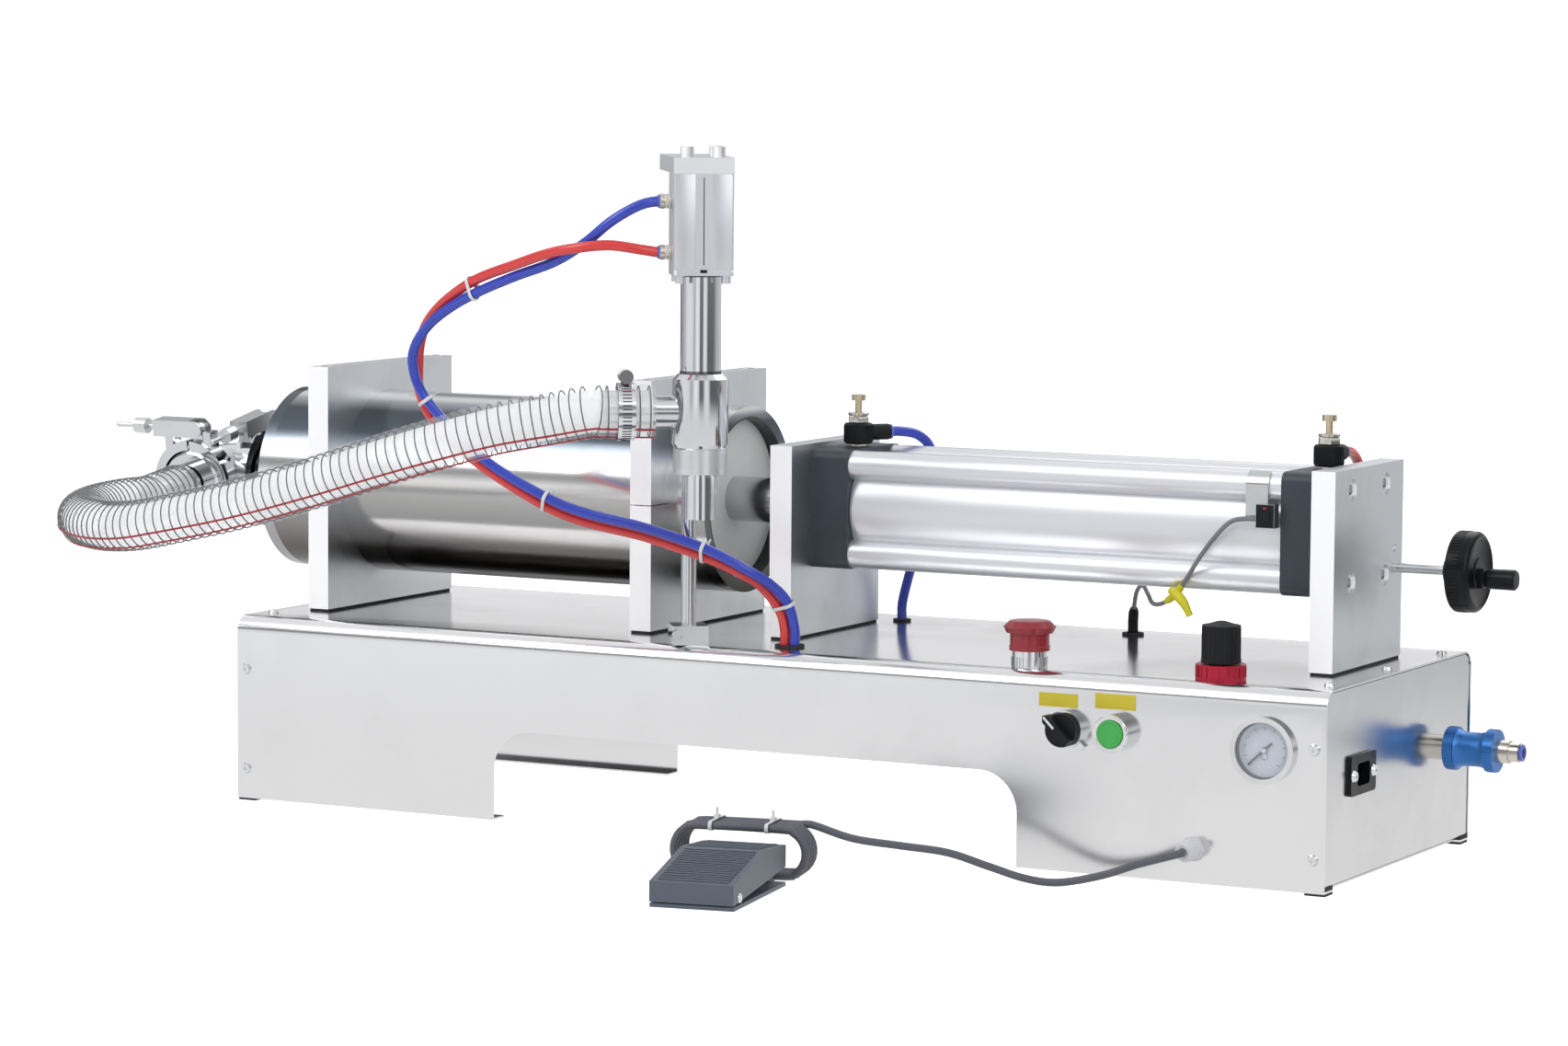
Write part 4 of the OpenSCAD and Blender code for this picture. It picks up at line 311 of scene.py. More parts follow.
@dataclass(frozen=True)
class Finish:
    """A procedural finish: grain in colour, roughness and relief, and soft smudges over it; where set, also
    painted light: a painted highlight on front faces, painted reflection and shade bands, and a painted
    glow.
    """

    name: str
    color: Point
    rough: float
    metallic: float = 0.0
    shade: float = 0.92
    rough_vary: float = 0.06
    grain: float = 900.0
    relief: float = 0.05
    smudge: float = 14.0
    coat: float = 0.0
    stretch: Point = (1.0, 1.0, 1.0)
    alpha: float = 1.0
    specular: float = 0.5
    anisotropic: float = 0.0
    # painted highlight: near-white colour for faces that look to the front or the back
    front: Point | None = None
    # painted reflections, highlights and shade in bands by height, for a lying tube
    bands: tuple[tuple[float, Point], ...] = ()
    # strength of a painted glow in the base colour
    painted_glow: float = 0.0

    def _painted_front_light(self, graph: Graph, where: dict, feeds: dict) -> None:
        """Paints a highlight on faces that look to the front or the back: brighter and duller, with a faint
        painted glow.

        Args:
            graph: The material's tree.
            where: Its texture coordinates.
            feeds: What feeds the surface, changed here.
        """
        split = graph.node("SeparateXYZ", {0: where["Normal"]})
        facing = graph.math("ABSOLUTE", split.outputs["Y"])
        front_light_mask = graph.node("MapRange", {"Value": facing, "From Min": 0.75, "From Max": 0.95})
        # painted highlight: near-white colour, less metal and a faint painted glow where the face looks to
        # the front or the back
        feeds["Base Color"] = graph.mix(front_light_mask, feeds["Base Color"], self.front)
        feeds["Metallic"] = graph.math("MULTIPLY_ADD", front_light_mask, -0.8, 1.0)
        feeds["Emission Strength"] = graph.math("MULTIPLY", front_light_mask, 0.16)
        feeds["Emission Color"] = (1.0, 1.0, 1.0, 1.0)

    def _painted_light_bands(self, graph: Graph, where: dict, colour: bpy.types.Node) -> bpy.types.Node:
        """Paints reflections, highlights and shade on a lying tube in bands by height, and paints shade in
        its bore.

        Args:
            graph: The material's tree.
            where: Its texture coordinates.
            colour: The colour so far.

        Returns:
            The banded colour.
        """
        low, high = self.bands[0][0], self.bands[-1][0]
        split = graph.node("SeparateXYZ", {0: where["Object"]})
        span = graph.node("MapRange", {"Value": split.outputs["Z"], "From Min": low, "From Max": high})
        ramp = graph.ramp(span, [((height - low) / (high - low), tone) for height, tone in self.bands])
        # painted reflections, highlights and shade multiplied into the colour
        painted_light_colour = graph.mix(1.0, colour, ramp, blend_type="MULTIPLY")
        across = graph.node("VectorMath", {0: where["Object"], 1: (0.0, 1.0, 1.0), 2: BORE_SHIFT},
                            operation="MULTIPLY_ADD")
        inside = graph.math("LESS_THAN", graph.node("VectorMath", {0: across}, operation="LENGTH"),
                            BORE_RADIUS)
        # painted shade in the bore: near black within the bore's radius
        return graph.mix(inside, painted_light_colour, (0.075, 0.078, 0.08))

    def material(self) -> bpy.types.Material:
        """Builds the material, or finds it where it has been built.

        Returns:
            The material, with all its patterns on Object coordinates.
        """
        if self.name in bpy.data.materials:
            return bpy.data.materials[self.name]
        made = bpy.data.materials.new(self.name)
        made.use_nodes = True
        graph = Graph(made.node_tree)
        where = graph.node("TexCoord").outputs
        stretch = graph.node("Mapping", {"Vector": where["Object"], "Scale": self.stretch})
        grain = graph.node("Group", {"Vector": stretch, "Scale": self.grain},
                           node_tree=Graph.group(fine_grain, "Shader", GRAIN_INPUTS))
        smudge = graph.node("Group", {"Vector": where["Object"], "Scale": self.smudge},
                            node_tree=Graph.group(soft_smudges, "Shader", SMUDGE_INPUTS))
        both = graph.math("MULTIPLY_ADD", grain, 0.6, smudge)
        feeds = {
            "Base Color": graph.mix(both, self.color, tuple(c * self.shade for c in self.color)),
            "Roughness": graph.math("MULTIPLY_ADD", both, self.rough_vary, self.rough),
            "Normal": graph.node("Bump", {"Strength": self.relief, "Distance": 0.0004, "Height": grain}),
            "Metallic": self.metallic, "Coat Weight": self.coat, "Coat Roughness": 0.08,
            "Specular IOR Level": self.specular, "Anisotropic": self.anisotropic, "Alpha": self.alpha}
        if self.front:
            self._painted_front_light(graph, where, feeds)
        if self.bands:
            feeds["Base Color"] = self._painted_light_bands(graph, where, feeds["Base Color"])
        # painted glow: the base colour shines with no lamp
        if self.painted_glow:
            feeds |= {"Emission Color": feeds["Base Color"], "Emission Strength": self.painted_glow}
        graph.feed(graph.tree.nodes["Principled BSDF"], feeds)
        return made


# where the painted shade of the tube's bore lies
BORE_SHIFT: Point = (0.0, -0.1469, -0.253)
BORE_RADIUS = 0.0665
# painted light on the filling tube, by height: dark painted shade at the bottom, a painted white reflection
# band, a dark painted reflection band and a painted highlight at the top
TUBE_PAINTED_LIGHT_BANDS: tuple[tuple[float, Point], ...] = (
    (0.178, (0.04, 0.036, 0.032)), (0.200, (0.14, 0.13, 0.12)), (0.215, (0.26, 0.25, 0.245)),
    (0.234, (0.37, 0.37, 0.37)), (0.254, (0.50, 0.49, 0.48)), (0.2575, (0.84, 0.82, 0.79)),
    (0.262, (0.88, 0.88, 0.88)), (0.281, (0.88, 0.89, 0.90)), (0.289, (0.34, 0.38, 0.43)),
    (0.297, (0.12, 0.145, 0.17)), (0.314, (0.085, 0.10, 0.118)), (0.321, (0.35, 0.37, 0.40)),
    (0.3255, (0.95, 0.96, 0.97)), (0.328, (0.9, 0.92, 0.94)))
# painted light on the tube's end cap, by height: painted shade low down, a painted white reflection band and
# dark painted reflection bands above
CAP_PAINTED_LIGHT_BANDS: tuple[tuple[float, Point], ...] = (
    (0.178, (0.36, 0.36, 0.37)), (0.215, (0.46, 0.46, 0.47)), (0.245, (0.62, 0.62, 0.63)),
    (0.256, (0.85, 0.85, 0.85)), (0.264, (1.0, 1.0, 1.0)), (0.276, (0.92, 0.94, 0.97)),
    (0.288, (0.36, 0.40, 0.46)),
    (0.302, (0.12, 0.145, 0.175)), (0.328, (0.085, 0.10, 0.12)))


class Look(Enum):
    """Every finish of the machine."""

    SHEET = Finish("polished_sheet", (0.79, 0.79, 0.80), 0.14, 1.0, 0.95, 0.05, 700, 0.02, 5,
                   stretch=(0.04, 1, 1),
                   anisotropic=0.3)
    END_SHEET = Finish("satin_sheet", (0.69, 0.69, 0.70), 0.16, 1.0, 0.94, 0.06, 700, 0.02, 6,
                       stretch=(1, 0.05, 1))
    # the plates' front and back faces carry a painted highlight and a faint painted glow
    PLATE = Finish("ground_plate", (0.70, 0.72, 0.74), 0.32, 1.0, 0.93, 0.1, 900, 0.06, 8,
                   stretch=(1, 1, 0.06),
                   front=(0.97, 0.97, 0.98))
    # the tube and its end cap carry painted reflections, highlights and shade in bands by height
    TUBE = Finish("polished_tube", (0.95, 0.95, 0.95), 0.13, 1.0, 0.92, 0.07, 800, 0.02, 7,
                  stretch=(0.03, 1, 1),
                  bands=TUBE_PAINTED_LIGHT_BANDS)
    TUBE_END = Finish("polished_tube_end", (0.9, 0.9, 0.9), 0.13, 1.0, 0.92, 0.07, 800, 0.02, 7,
                      stretch=(0.03, 1, 1),
                      bands=CAP_PAINTED_LIGHT_BANDS)
    TURNED = Finish("turned_steel", (0.62, 0.64, 0.65), 0.12, 1.0, 0.9, 0.08, 900, 0.02, 9,
                    stretch=(1, 1, 0.1))
    NOZZLE = Finish("bright_nozzle_steel", (0.70, 0.71, 0.73), 0.07, 1.0, 0.92, 0.05, 600, 0.015, 10,
                    stretch=(1, 1, 0.2))
    SATIN_RING = Finish("satin_ring_steel", (0.74, 0.75, 0.76), 0.3, 1.0, 0.92, 0.08, 1200, 0.05, 10,
                        stretch=(0.2, 0.2, 1))
    SCREW = Finish("bright_screw", (0.46, 0.47, 0.48), 0.16, 1.0, 0.85, 0.1, 1500, 0.05, 30)
    NICKEL = Finish("nickel", (0.66, 0.63, 0.57), 0.16, 1.0, 0.88, 0.08, 1500, 0.04, 30)
    BRASS = Finish("brass_screw", (0.70, 0.60, 0.42), 0.2, 1.0, 0.86, 0.1, 1500, 0.05, 30)
    ANODISED = Finish("anodised_profile", (0.80, 0.81, 0.84), 0.36, 0.75, 0.95, 0.06, 900, 0.05, 5,
                      stretch=(0.04, 1, 1))
    CYLINDER = Finish("anodised_block", (0.72, 0.73, 0.77), 0.36, 0.8, 0.95, 0.06, 1200, 0.05, 9,
                      stretch=(1, 1, 0.08))
    CAP = Finish("dark_cast_cap", (0.036, 0.052, 0.07), 0.38, 0.0, 0.8, 0.1, 1600, 0.25, 20)
    RUBBER = Finish("black_rubber", (0.014, 0.014, 0.016), 0.62, 0.0, 0.7, 0.1, 1800, 0.3, 24)
    BLACK = Finish("black_gloss_plastic", (0.007, 0.008, 0.010), 0.24, 0.0, 0.7, 0.1, 1400, 0.08, 24,
                   specular=0.2)
    MATT_BLACK = Finish("black_satin_plastic", (0.009, 0.010, 0.012), 0.42, 0.0, 0.7, 0.1, 1600, 0.2, 24,
                        specular=0.25)
    PALE = Finish("pale_plastic", (0.66, 0.66, 0.68), 0.4, 0.0, 0.93, 0.08, 1500, 0.1, 20)
    WHITE = Finish("white_plastic", (0.86, 0.86, 0.84), 0.36, 0.0, 0.95, 0.08, 1500, 0.06, 18)
    GREY = Finish("grey_valve_plastic", (0.10, 0.12, 0.145), 0.42, 0.0, 0.88, 0.08, 1500, 0.15, 18)
    HOSE = Finish("clear_hose_wall", (0.97, 0.975, 0.98), 0.12, 0.0, 0.98, 0.05, 900, 0.03, 16, alpha=0.16)
    # the lining has a painted glow that makes it brighter
    HOSE_CORE = Finish("milky_hose_lining", (0.96, 0.97, 0.98), 0.3, 0.0, 0.97, 0.05, 900, 0.03, 16,
                       alpha=0.34,
                       painted_glow=0.42)
    WIRE = Finish("spring_wire", (0.055, 0.058, 0.062), 0.3, 0.2, 0.9, 0.06, 1500, 0.04, 20)
    STRIPE = Finish("red_hose_stripe", (0.42, 0.012, 0.03), 0.4, 0.0, 0.9, 0.08, 1500, 0.04, 20)
    BLUE = Finish("blue_air_tube", (0.027, 0.062, 0.58), 0.2, 0.0, 0.9, 0.06, 1500, 0.03, 20, 0.4)
    RED = Finish("red_air_tube", (0.86, 0.045, 0.042), 0.2, 0.0, 0.92, 0.06, 1500, 0.03, 20, 0.4)
    CORD = Finish("grey_cord_jacket", (0.125, 0.125, 0.15), 0.42, 0.0, 0.88, 0.08, 1600, 0.12, 30)
    LEAD = Finish("grey_sensor_lead", (0.24, 0.24, 0.27), 0.42, 0.0, 0.88, 0.08, 1600, 0.12, 30)
    YELLOW = Finish("yellow_sleeve", (0.80, 0.74, 0.02), 0.4, 0.0, 0.9, 0.08, 1500, 0.08, 22)
    LABEL = Finish("yellow_label", (0.70, 0.58, 0.035), 0.45, 0.0, 0.96, 0.05, 1800, 0.03, 26)
    STOP = Finish("stop_red", (0.26, 0.012, 0.022), 0.34, 0.0, 0.9, 0.08, 1300, 0.06, 22)
    CRIMSON = Finish("crimson_anodised", (0.50, 0.010, 0.04), 0.3, 0.35, 0.88, 0.08, 1300, 0.05, 22)
    GREEN = Finish("green_lens", (0.05, 0.50, 0.085), 0.28, 0.0, 0.92, 0.06, 1300, 0.03, 20, 0.3)
    CHROME = Finish("chromed_ring", (0.74, 0.745, 0.76), 0.08, 1.0, 0.92, 0.05, 900, 0.01, 18)
    VALVE_BLUE = Finish("blue_anodised", (0.045, 0.21, 0.60), 0.24, 0.55, 0.86, 0.08, 1300, 0.04, 22)
    PUSH_BLUE = Finish("pale_blue_ring", (0.16, 0.20, 0.66), 0.34, 0.0, 0.9, 0.08, 1300, 0.04, 22)
    DIAL = Finish("dial_face", (0.70, 0.76, 0.85), 0.5, 0.0, 0.98, 0.05, 1300, 0.01, 22)
    INK = Finish("dark_ink", (0.02, 0.022, 0.03), 0.5, 0.0, 0.9, 0.05, 1300, 0.01, 22)
    GLASS = Finish("gauge_glass", (0.95, 0.97, 1.0), 0.03, 0.0, 0.99, 0.01, 600, 0.0, 22, alpha=0.12)
    PEDAL = Finish("pedal_plastic", (0.135, 0.165, 0.205), 0.36, 0.0, 0.86, 0.1, 1500, 0.18, 20)


# Meshes


class Shape:
    """A mesh in the making, in millimetres until it is placed."""

    def __init__(self) -> None:
        """Starts an empty mesh."""
        self.bm = bmesh.new()

    def _faces(self, verts: Iterable[bmesh.types.BMVert]) -> None:
        """Adds one face and ignores a doubled one.

        Args:
            verts: Its corners in order.
        """
        try:
            self.bm.faces.new(list(verts))
        except ValueError:
            LOG.debug("a doubled face was left out")

    def skin(self, rows: list, closed: bool = False, caps: bool = True) -> "Shape":
        """Joins rings of points one to the next; a ring may be one point.

        Args:
            rows: The rings in order.
            closed: Whether the last one joins the first.
            caps: Whether an open run gets a face at each end.

        Returns:
            The shape itself.
        """
        for low, high in zip(rows, rows[1:] + rows[:1] if closed else rows[1:]):
            for k in range(max(len(low), len(high))):
                corners = ((low, k), (low, k + 1), (high, k + 1), (high, k))
                self._faces(dict.fromkeys(row[i % len(row)] for row, i in corners))
        if caps and not closed:
            self._faces(reversed(rows[0]))
            self._faces(rows[-1])
        return self

    def lathe(self, profile: Sequence[tuple[float, float]], frame: Matrix, sides: int = 48) -> "Shape":
        """Turns a profile about the frame's height.

        Args:
            profile: Heights and radii in order; a radius of zero closes a pole.
            frame: Where the turned piece stands.
            sides: Number of sides.

        Returns:
            The shape itself.
        """
        closed = profile[0] == profile[-1]
        rings = [[
            self.bm.verts.new(frame @ Vector((radius * math.cos(a), radius * math.sin(a), height)))
            for a in (2 * math.pi * k / sides for k in range(sides if radius else 1))
        ] for height, radius in (profile[:-1] if closed else profile)]
        return self.skin(rings, closed, caps=False)

    def block(self, low: Point, high: Point, frame: Matrix) -> "Shape":
        """Adds a block.

        Args:
            low: Its lowest corner.
            high: Its highest corner.
            frame: The frame of the corners.

        Returns:
            The shape itself.
        """
        size = Vector(high) - Vector(low)
        middle = (Vector(high) + Vector(low)) / 2
        matrix = off(frame, *middle) @ Matrix.Diagonal((*size, 1.0))
        bmesh.ops.create_cube(self.bm, size=1.0, matrix=matrix)
        return self

    def sweep(self, path: Sequence[Vector], radii: Sequence[float], sides: int,
              bore: float = 0.0) -> "Shape":
        """Sweeps a round section along a path that is already in the row frame.

        Args:
            path: Points of the path, in metres.
            radii: Radius at each point, in metres.
            sides: Number of sides.
            bore: Radius of the bore in metres, or zero for a solid piece.

        Returns:
            The shape itself.
        """
        frames = Path.frames(path)
        outer = [self._ring(p, f, r, sides) for p, f, r in zip(path, frames, radii)]
        if bore <= 0:
            return self.skin(outer)
        inner = [self._ring(p, f, bore, sides) for p, f in zip(path, frames)]
        return self.skin(outer + inner[::-1], closed=True)

    def _ring(self, centre: Vector, frame: tuple[Vector, Vector], radius: float, sides: int) -> list:
        """Adds the points of one ring.

        Args:
            centre: Its centre.
            frame: Two directions across the path.
            radius: Its radius.
            sides: Number of points.

        Returns:
            The new points.
        """
        step = 2 * math.pi / sides
        return [
            self.bm.verts.new(centre + radius * (math.cos(k * step) * frame[0]
                                                 + math.sin(k * step) * frame[1]))
            for k in range(sides)
        ]

    def finish(self, name: str, look: Look, body: str = "machine", bevel: float = 0.0,
               sharp: float = 35.0) -> bpy.types.Object:
        """Makes the object, gives it its finish and lets it ride.

        Args:
            name: Name of the piece.
            look: Its finish.
            body: The body that it rides on.
            bevel: Width of its rounded edges in millimetres.
            sharp: Angle over which an edge stays sharp, in degrees.

        Returns:
            The new piece.
        """
        bmesh.ops.remove_doubles(self.bm, verts=self.bm.verts, dist=1e-7)
        bmesh.ops.recalc_face_normals(self.bm, faces=self.bm.faces)
        mesh = bpy.data.meshes.new(name)
        self.bm.to_mesh(mesh)
        self.bm.free()
        piece = placed(name, mesh)
        if bevel > 0:
            rounding = piece.modifiers.new("rounding", "BEVEL")
            rounding.width = bevel * MM
            rounding.segments = 2
            rounding.limit_method = "ANGLE"
            rounding.angle_limit = math.radians(30)
        return dress(piece, look, body, sharp)


def settled(piece: bpy.types.Object) -> bpy.types.Mesh:
    """Works a piece's modifiers in and removes them.

    Args:
        piece: The piece.

    Returns:
        Its new mesh.
    """
    graph = bpy.context.evaluated_depsgraph_get()
    mesh = bpy.data.meshes.new_from_object(piece.evaluated_get(graph), depsgraph=graph)
    piece.modifiers.clear()
    return mesh


def placed(name: str, data: bpy.types.ID) -> bpy.types.Object:
    """Makes an object and links it.

    Args:
        name: Its name.
        data: Its mesh, lamp or camera.

    Returns:
        The object.
    """
    made = bpy.data.objects.new(name, data)
    bpy.context.scene.collection.objects.link(made)
    return made


def dress(piece: bpy.types.Object, look: Look, body: str, sharp: float = 35.0) -> bpy.types.Object:
    """Bakes a new piece's modifiers, smooths it, paints it and lets it ride.

    Args:
        piece: The new piece.
        look: Its finish.
        body: The body that it rides on.
        sharp: Angle over which an edge stays sharp, in degrees.

    Returns:
        The piece.
    """
    if piece.modifiers:
        piece.data = settled(piece)
    piece.data.polygons.foreach_set("use_smooth", [True] * len(piece.data.polygons))
    piece.data.set_sharp_from_angle(angle=math.radians(sharp))
    piece.data.materials.clear()
    piece.data.materials.append(look.value.material())
    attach(piece, body)
    LOG.info("%s rides on %s with %d faces", piece.name, body, len(piece.data.polygons))
    return piece


def ring(low: float, high: float, inner: float, outer: float) -> list[tuple[float, float]]:
    """Gives the closed profile of a plain ring between two heights."""
    return [(low, inner), (low, outer), (high, outer), (high, inner), (low, inner)]


def turn(name: str, look: Look, frame: Matrix, profile: Sequence[tuple[float, float]], sides: int = 48,
         body: str = "machine") -> bpy.types.Object:
    """Makes one turned piece.

    Args:
        name: Name of the piece.
        look: Its finish.
        frame: Where it stands.
        profile: Heights and radii in order.
        sides: Number of sides.
        body: The body that it rides on.

    Returns:
        The new piece.
    """
    return Shape().lathe(profile, frame, sides).finish(name, look, body)


class Path:
    """Smooth routes, worked out as the solids work theirs out."""

    @staticmethod
    def curve(points: Sequence[Vector], fine: int = 8) -> list[Vector]:
        """Draws a smooth curve through points.

        Args:
            points: The points.
            fine: Number of steps between two of them.

        Returns:
            Points along the curve.
        """
        last = len(points) - 1
        made = []
        for i in range(last):
            a, b, c, d = points[max(i - 1, 0)], points[i], points[i + 1], points[min(i + 2, last)]
            for k in range(fine):
                t = k / fine
                bend, twist = 2 * a - 5 * b + 4 * c - d, 3 * b - a - 3 * c + d
                made.append(0.5 * (2 * b + (c - a) * t + bend * t**2 + twist * t**3))
        return made + [points[last]]

    @staticmethod
    def length(points: Sequence[Vector]) -> float:
        """Measures a path."""
        return sum((b - a).length for a, b in zip(points, points[1:]))

    @classmethod
    def even(cls, points: Sequence[Vector], step: float) -> list[Vector]:
        """Sets points at even steps along a path.

        Args:
            points: The path.
            step: Wanted distance between two points.

        Returns:
            The new points, with both ends kept.
        """
        total = cls.length(points)
        count = max(2, round(total / step))
        made, walked, leg = [points[0].copy()], 0.0, 0
        for k in range(1, count):
            want = total * k / count
            while walked + (points[leg + 1] - points[leg]).length < want:
                walked += (points[leg + 1] - points[leg]).length
                leg += 1
            span = (points[leg + 1] - points[leg]).length
            made.append(points[leg].lerp(points[leg + 1], (want - walked) / span))
        return made + [points[-1].copy()]

    @staticmethod
    def frames(points: Sequence[Vector]) -> list[tuple[Vector, Vector]]:
        """Carries two directions across a path along it without twist.

        Args:
            points: The path.

        Returns:
            Two unit directions for each point.
        """
        last = len(points) - 1
        made = []
        across = Vector((0, 0, 1))
        for i in range(last + 1):
            along = (points[min(i + 1, last)] - points[max(i - 1, 0)]).normalized()
            if i == 0 and abs(along.z) > 0.9:
                across = Vector((0, 1, 0))
            across = (across - across.dot(along) * along).normalized()
            made.append((across, along.cross(across)))
        return made


class Repeats:
    """Geometry Nodes trees for what repeats, each built once."""

    SIZES: dict[str, dict[str, tuple]] = {
        "blocks_around": {
            "Count": ("Int", 12), "Radius": ("Float", 10.0), "Start": ("Float", 0.0), "Step": ("Float", 0.5),
            "Size": ("Vector", (1.0, 1.0, 1.0))},
        "blocks_in_a_row": {
            "Count": ("Int", 12), "Offset": ("Vector", (0.0, 1.0, 0.0)),
            "Size": ("Vector", (1.0, 1.0, 1.0))},
        "rings_along_a_path": {
            "Pitch": ("Float", 0.008), "Radius": ("Float", 0.02), "Wire": ("Float", 0.001),
            "Sides": ("Int", 24)},
    }

    @staticmethod
    def _close(graph: Graph, given: dict, points: object, instance: object,
               **spin: object) -> bpy.types.Node:
        """Sets an instance on every point, and ends in Realize Instances and Set Material.

        Args:
            graph: The tree.
            given: Its inputs.
            points: The points.
            instance: What stands on them.
            spin: Their rotation, where they have one.

        Returns:
            The last node.
        """
        stand = graph.node("GeometryNodeInstanceOnPoints", {"Points": points, "Instance": instance, **spin})
        real = graph.node("GeometryNodeRealizeInstances", {"Geometry": stand})
        return graph.node("GeometryNodeSetMaterial", {"Geometry": real, "Material": given["Material"]})

    @classmethod
    def blocks_around(cls, graph: Graph, given: dict) -> bpy.types.Node:
        """Draws the tree that sets small blocks round a circle or an arc.

        Args:
            graph: The tree.
            given: Its inputs.

        Returns:
            Its last node.
        """
        index = graph.node("GeometryNodeInputIndex")
        angle = graph.math("MULTIPLY_ADD", index, given["Step"], given["Start"])
        x, y = (graph.math("MULTIPLY", graph.math(wave, angle), given["Radius"])
                for wave in ("COSINE", "SINE"))
        spot = graph.node("CombineXYZ", {"X": x, "Y": y})
        points = graph.node("GeometryNodePoints", {"Count": given["Count"], "Position": spot})
        spin = graph.node("FunctionNodeEulerToRotation", {0: graph.node("CombineXYZ", {"Z": angle})})
        block = graph.node("GeometryNodeMeshCube", {"Size": given["Size"]})
        return cls._close(graph, given, points, block, Rotation=spin)

    @classmethod
    def blocks_in_a_row(cls, graph: Graph, given: dict) -> bpy.types.Node:
        """Draws the tree that sets small blocks in a row.

        Args:
            graph: The tree.
            given: Its inputs.

        Returns:
            Its last node.
        """
        places = {"Count": given["Count"], "Offset": given["Offset"]}
        line = graph.node("GeometryNodeMeshLine", places, mode="OFFSET")
        return cls._close(graph, given, line, graph.node("GeometryNodeMeshCube", {"Size": given["Size"]}))

    @classmethod
    def rings_along_a_path(cls, graph: Graph, given: dict) -> bpy.types.Node:
        """Draws the tree that sets wire rings along a path.

        Args:
            graph: The tree.
            given: Its inputs.

        Returns:
            Its last node.
        """
        curve = graph.node("GeometryNodeMeshToCurve", {"Mesh": given["Geometry"]})
        spread = graph.node("GeometryNodeCurveToPoints", {"Curve": curve, "Length": given["Pitch"]},
                            mode="LENGTH")
        points = spread.outputs
        circle = "GeometryNodeCurvePrimitiveCircle"
        loop = graph.node(circle, {"Resolution": given["Sides"], "Radius": given["Radius"]})
        wire = graph.node(circle, {"Resolution": 5, "Radius": given["Wire"]})
        tube = graph.node("GeometryNodeCurveToMesh", {"Curve": loop, "Profile Curve": wire})
        return cls._close(graph, given, points["Points"], tube, Rotation=points["Rotation"])

    @classmethod
    def run(cls, draw: Callable, name: str, look: Look, body: str, frame: Matrix,
            points: Sequence[Vector] = (), **sizes: object) -> bpy.types.Object:
        """Runs a tree and keeps the plain mesh that it makes.

        Args:
            draw: Draws the tree.
            name: Name of the piece.
            look: Its finish.
            body: The body that it rides on.
            frame: The frame in which the tree's sizes stand.
            points: A path to run along, where the tree takes one.
            sizes: Values for the tree's named inputs.

        Returns:
            The new piece.
        """
        inputs = {"Geometry": ("Geometry",), **cls.SIZES[draw.__name__], "Material": ("Material",)}
        tree = Graph.group(draw, "Geometry", inputs)
        seed = bpy.data.meshes.new(name)
        seed.from_pydata([tuple(p) for p in points], [(i, i + 1) for i in range(len(points) - 1)], [])
        piece = placed(name, seed)
        modifier = piece.modifiers.new("repeat", "NODES")
        modifier.node_group = tree
        sizes["Material"] = look.value.material()
        for item in tree.interface.items_tree:
            if item.item_type == "SOCKET" and item.in_out == "INPUT" and item.name in sizes:
                modifier[item.identifier] = sizes[item.name]
        piece.data = settled(piece)
        piece.data.transform(frame)
        return dress(piece, look, body, 40.0)


def knurl(name: str, look: Look, body: str, frame: Matrix, rise: float, radius: float, height: float,
          count: int,
          tooth: float) -> bpy.types.Object:
    """Sets fine ridges round a turned grip.

    Args:
        name: Name of the piece.
        look: Its finish.
        body: The body that it rides on.
        frame: The frame of the piece that it is on.
        rise: Height of the middle of the grip in that frame.
        radius: Radius of the grip.
        height: Height of the ridges.
        count: Number of ridges.
        tooth: How far they stand out.

    Returns:
        The ridges as one piece.
    """
    width = 2 * math.pi * radius / count * 0.5
    return Repeats.run(Repeats.blocks_around, name, look, body, off(frame, 0, 0, rise), Count=count,
                       Radius=radius, Start=0.0, Step=2 * math.pi / count, Size=(2 * tooth, width, height))


# Free hoses, tubes and cords


@dataclass
class Cord:
    """A free hose, tube or cord along a route that the solids share."""

    name: str
    route: list[Point]
    radius: float
    look: Look
    nodes: tuple[str, ...]
    lay: str = "hanging"
    stiffness: str = "medium"
    sides: int = 16
    step: float = 4.0

    def path(self) -> list[Vector]:
        """Gives the smooth path in the row frame."""
        return Path.even(Path.curve([place(*p) for p in self.route]), self.step * MM)

    def build(self) -> bpy.types.Object:
        """Returns:
            The piece.
        """
        path = self.path()
        piece = Shape().sweep(path, [self.radius * MM] * len(path), self.sides).finish(self.name, self.look)
        return self.declare(piece, path)

    def declare(self, piece: bpy.types.Object, path: Sequence[Vector],
                with_pieces: Sequence = ()) -> bpy.types.Object:
        """Args:
            piece: The piece.
            path: The points that it follows.
            with_pieces: Separate pieces on it; not used.

        Returns:
            The piece.
        """
        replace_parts(piece, *self.nodes)
        round(Path.length(path), 3)
        return piece


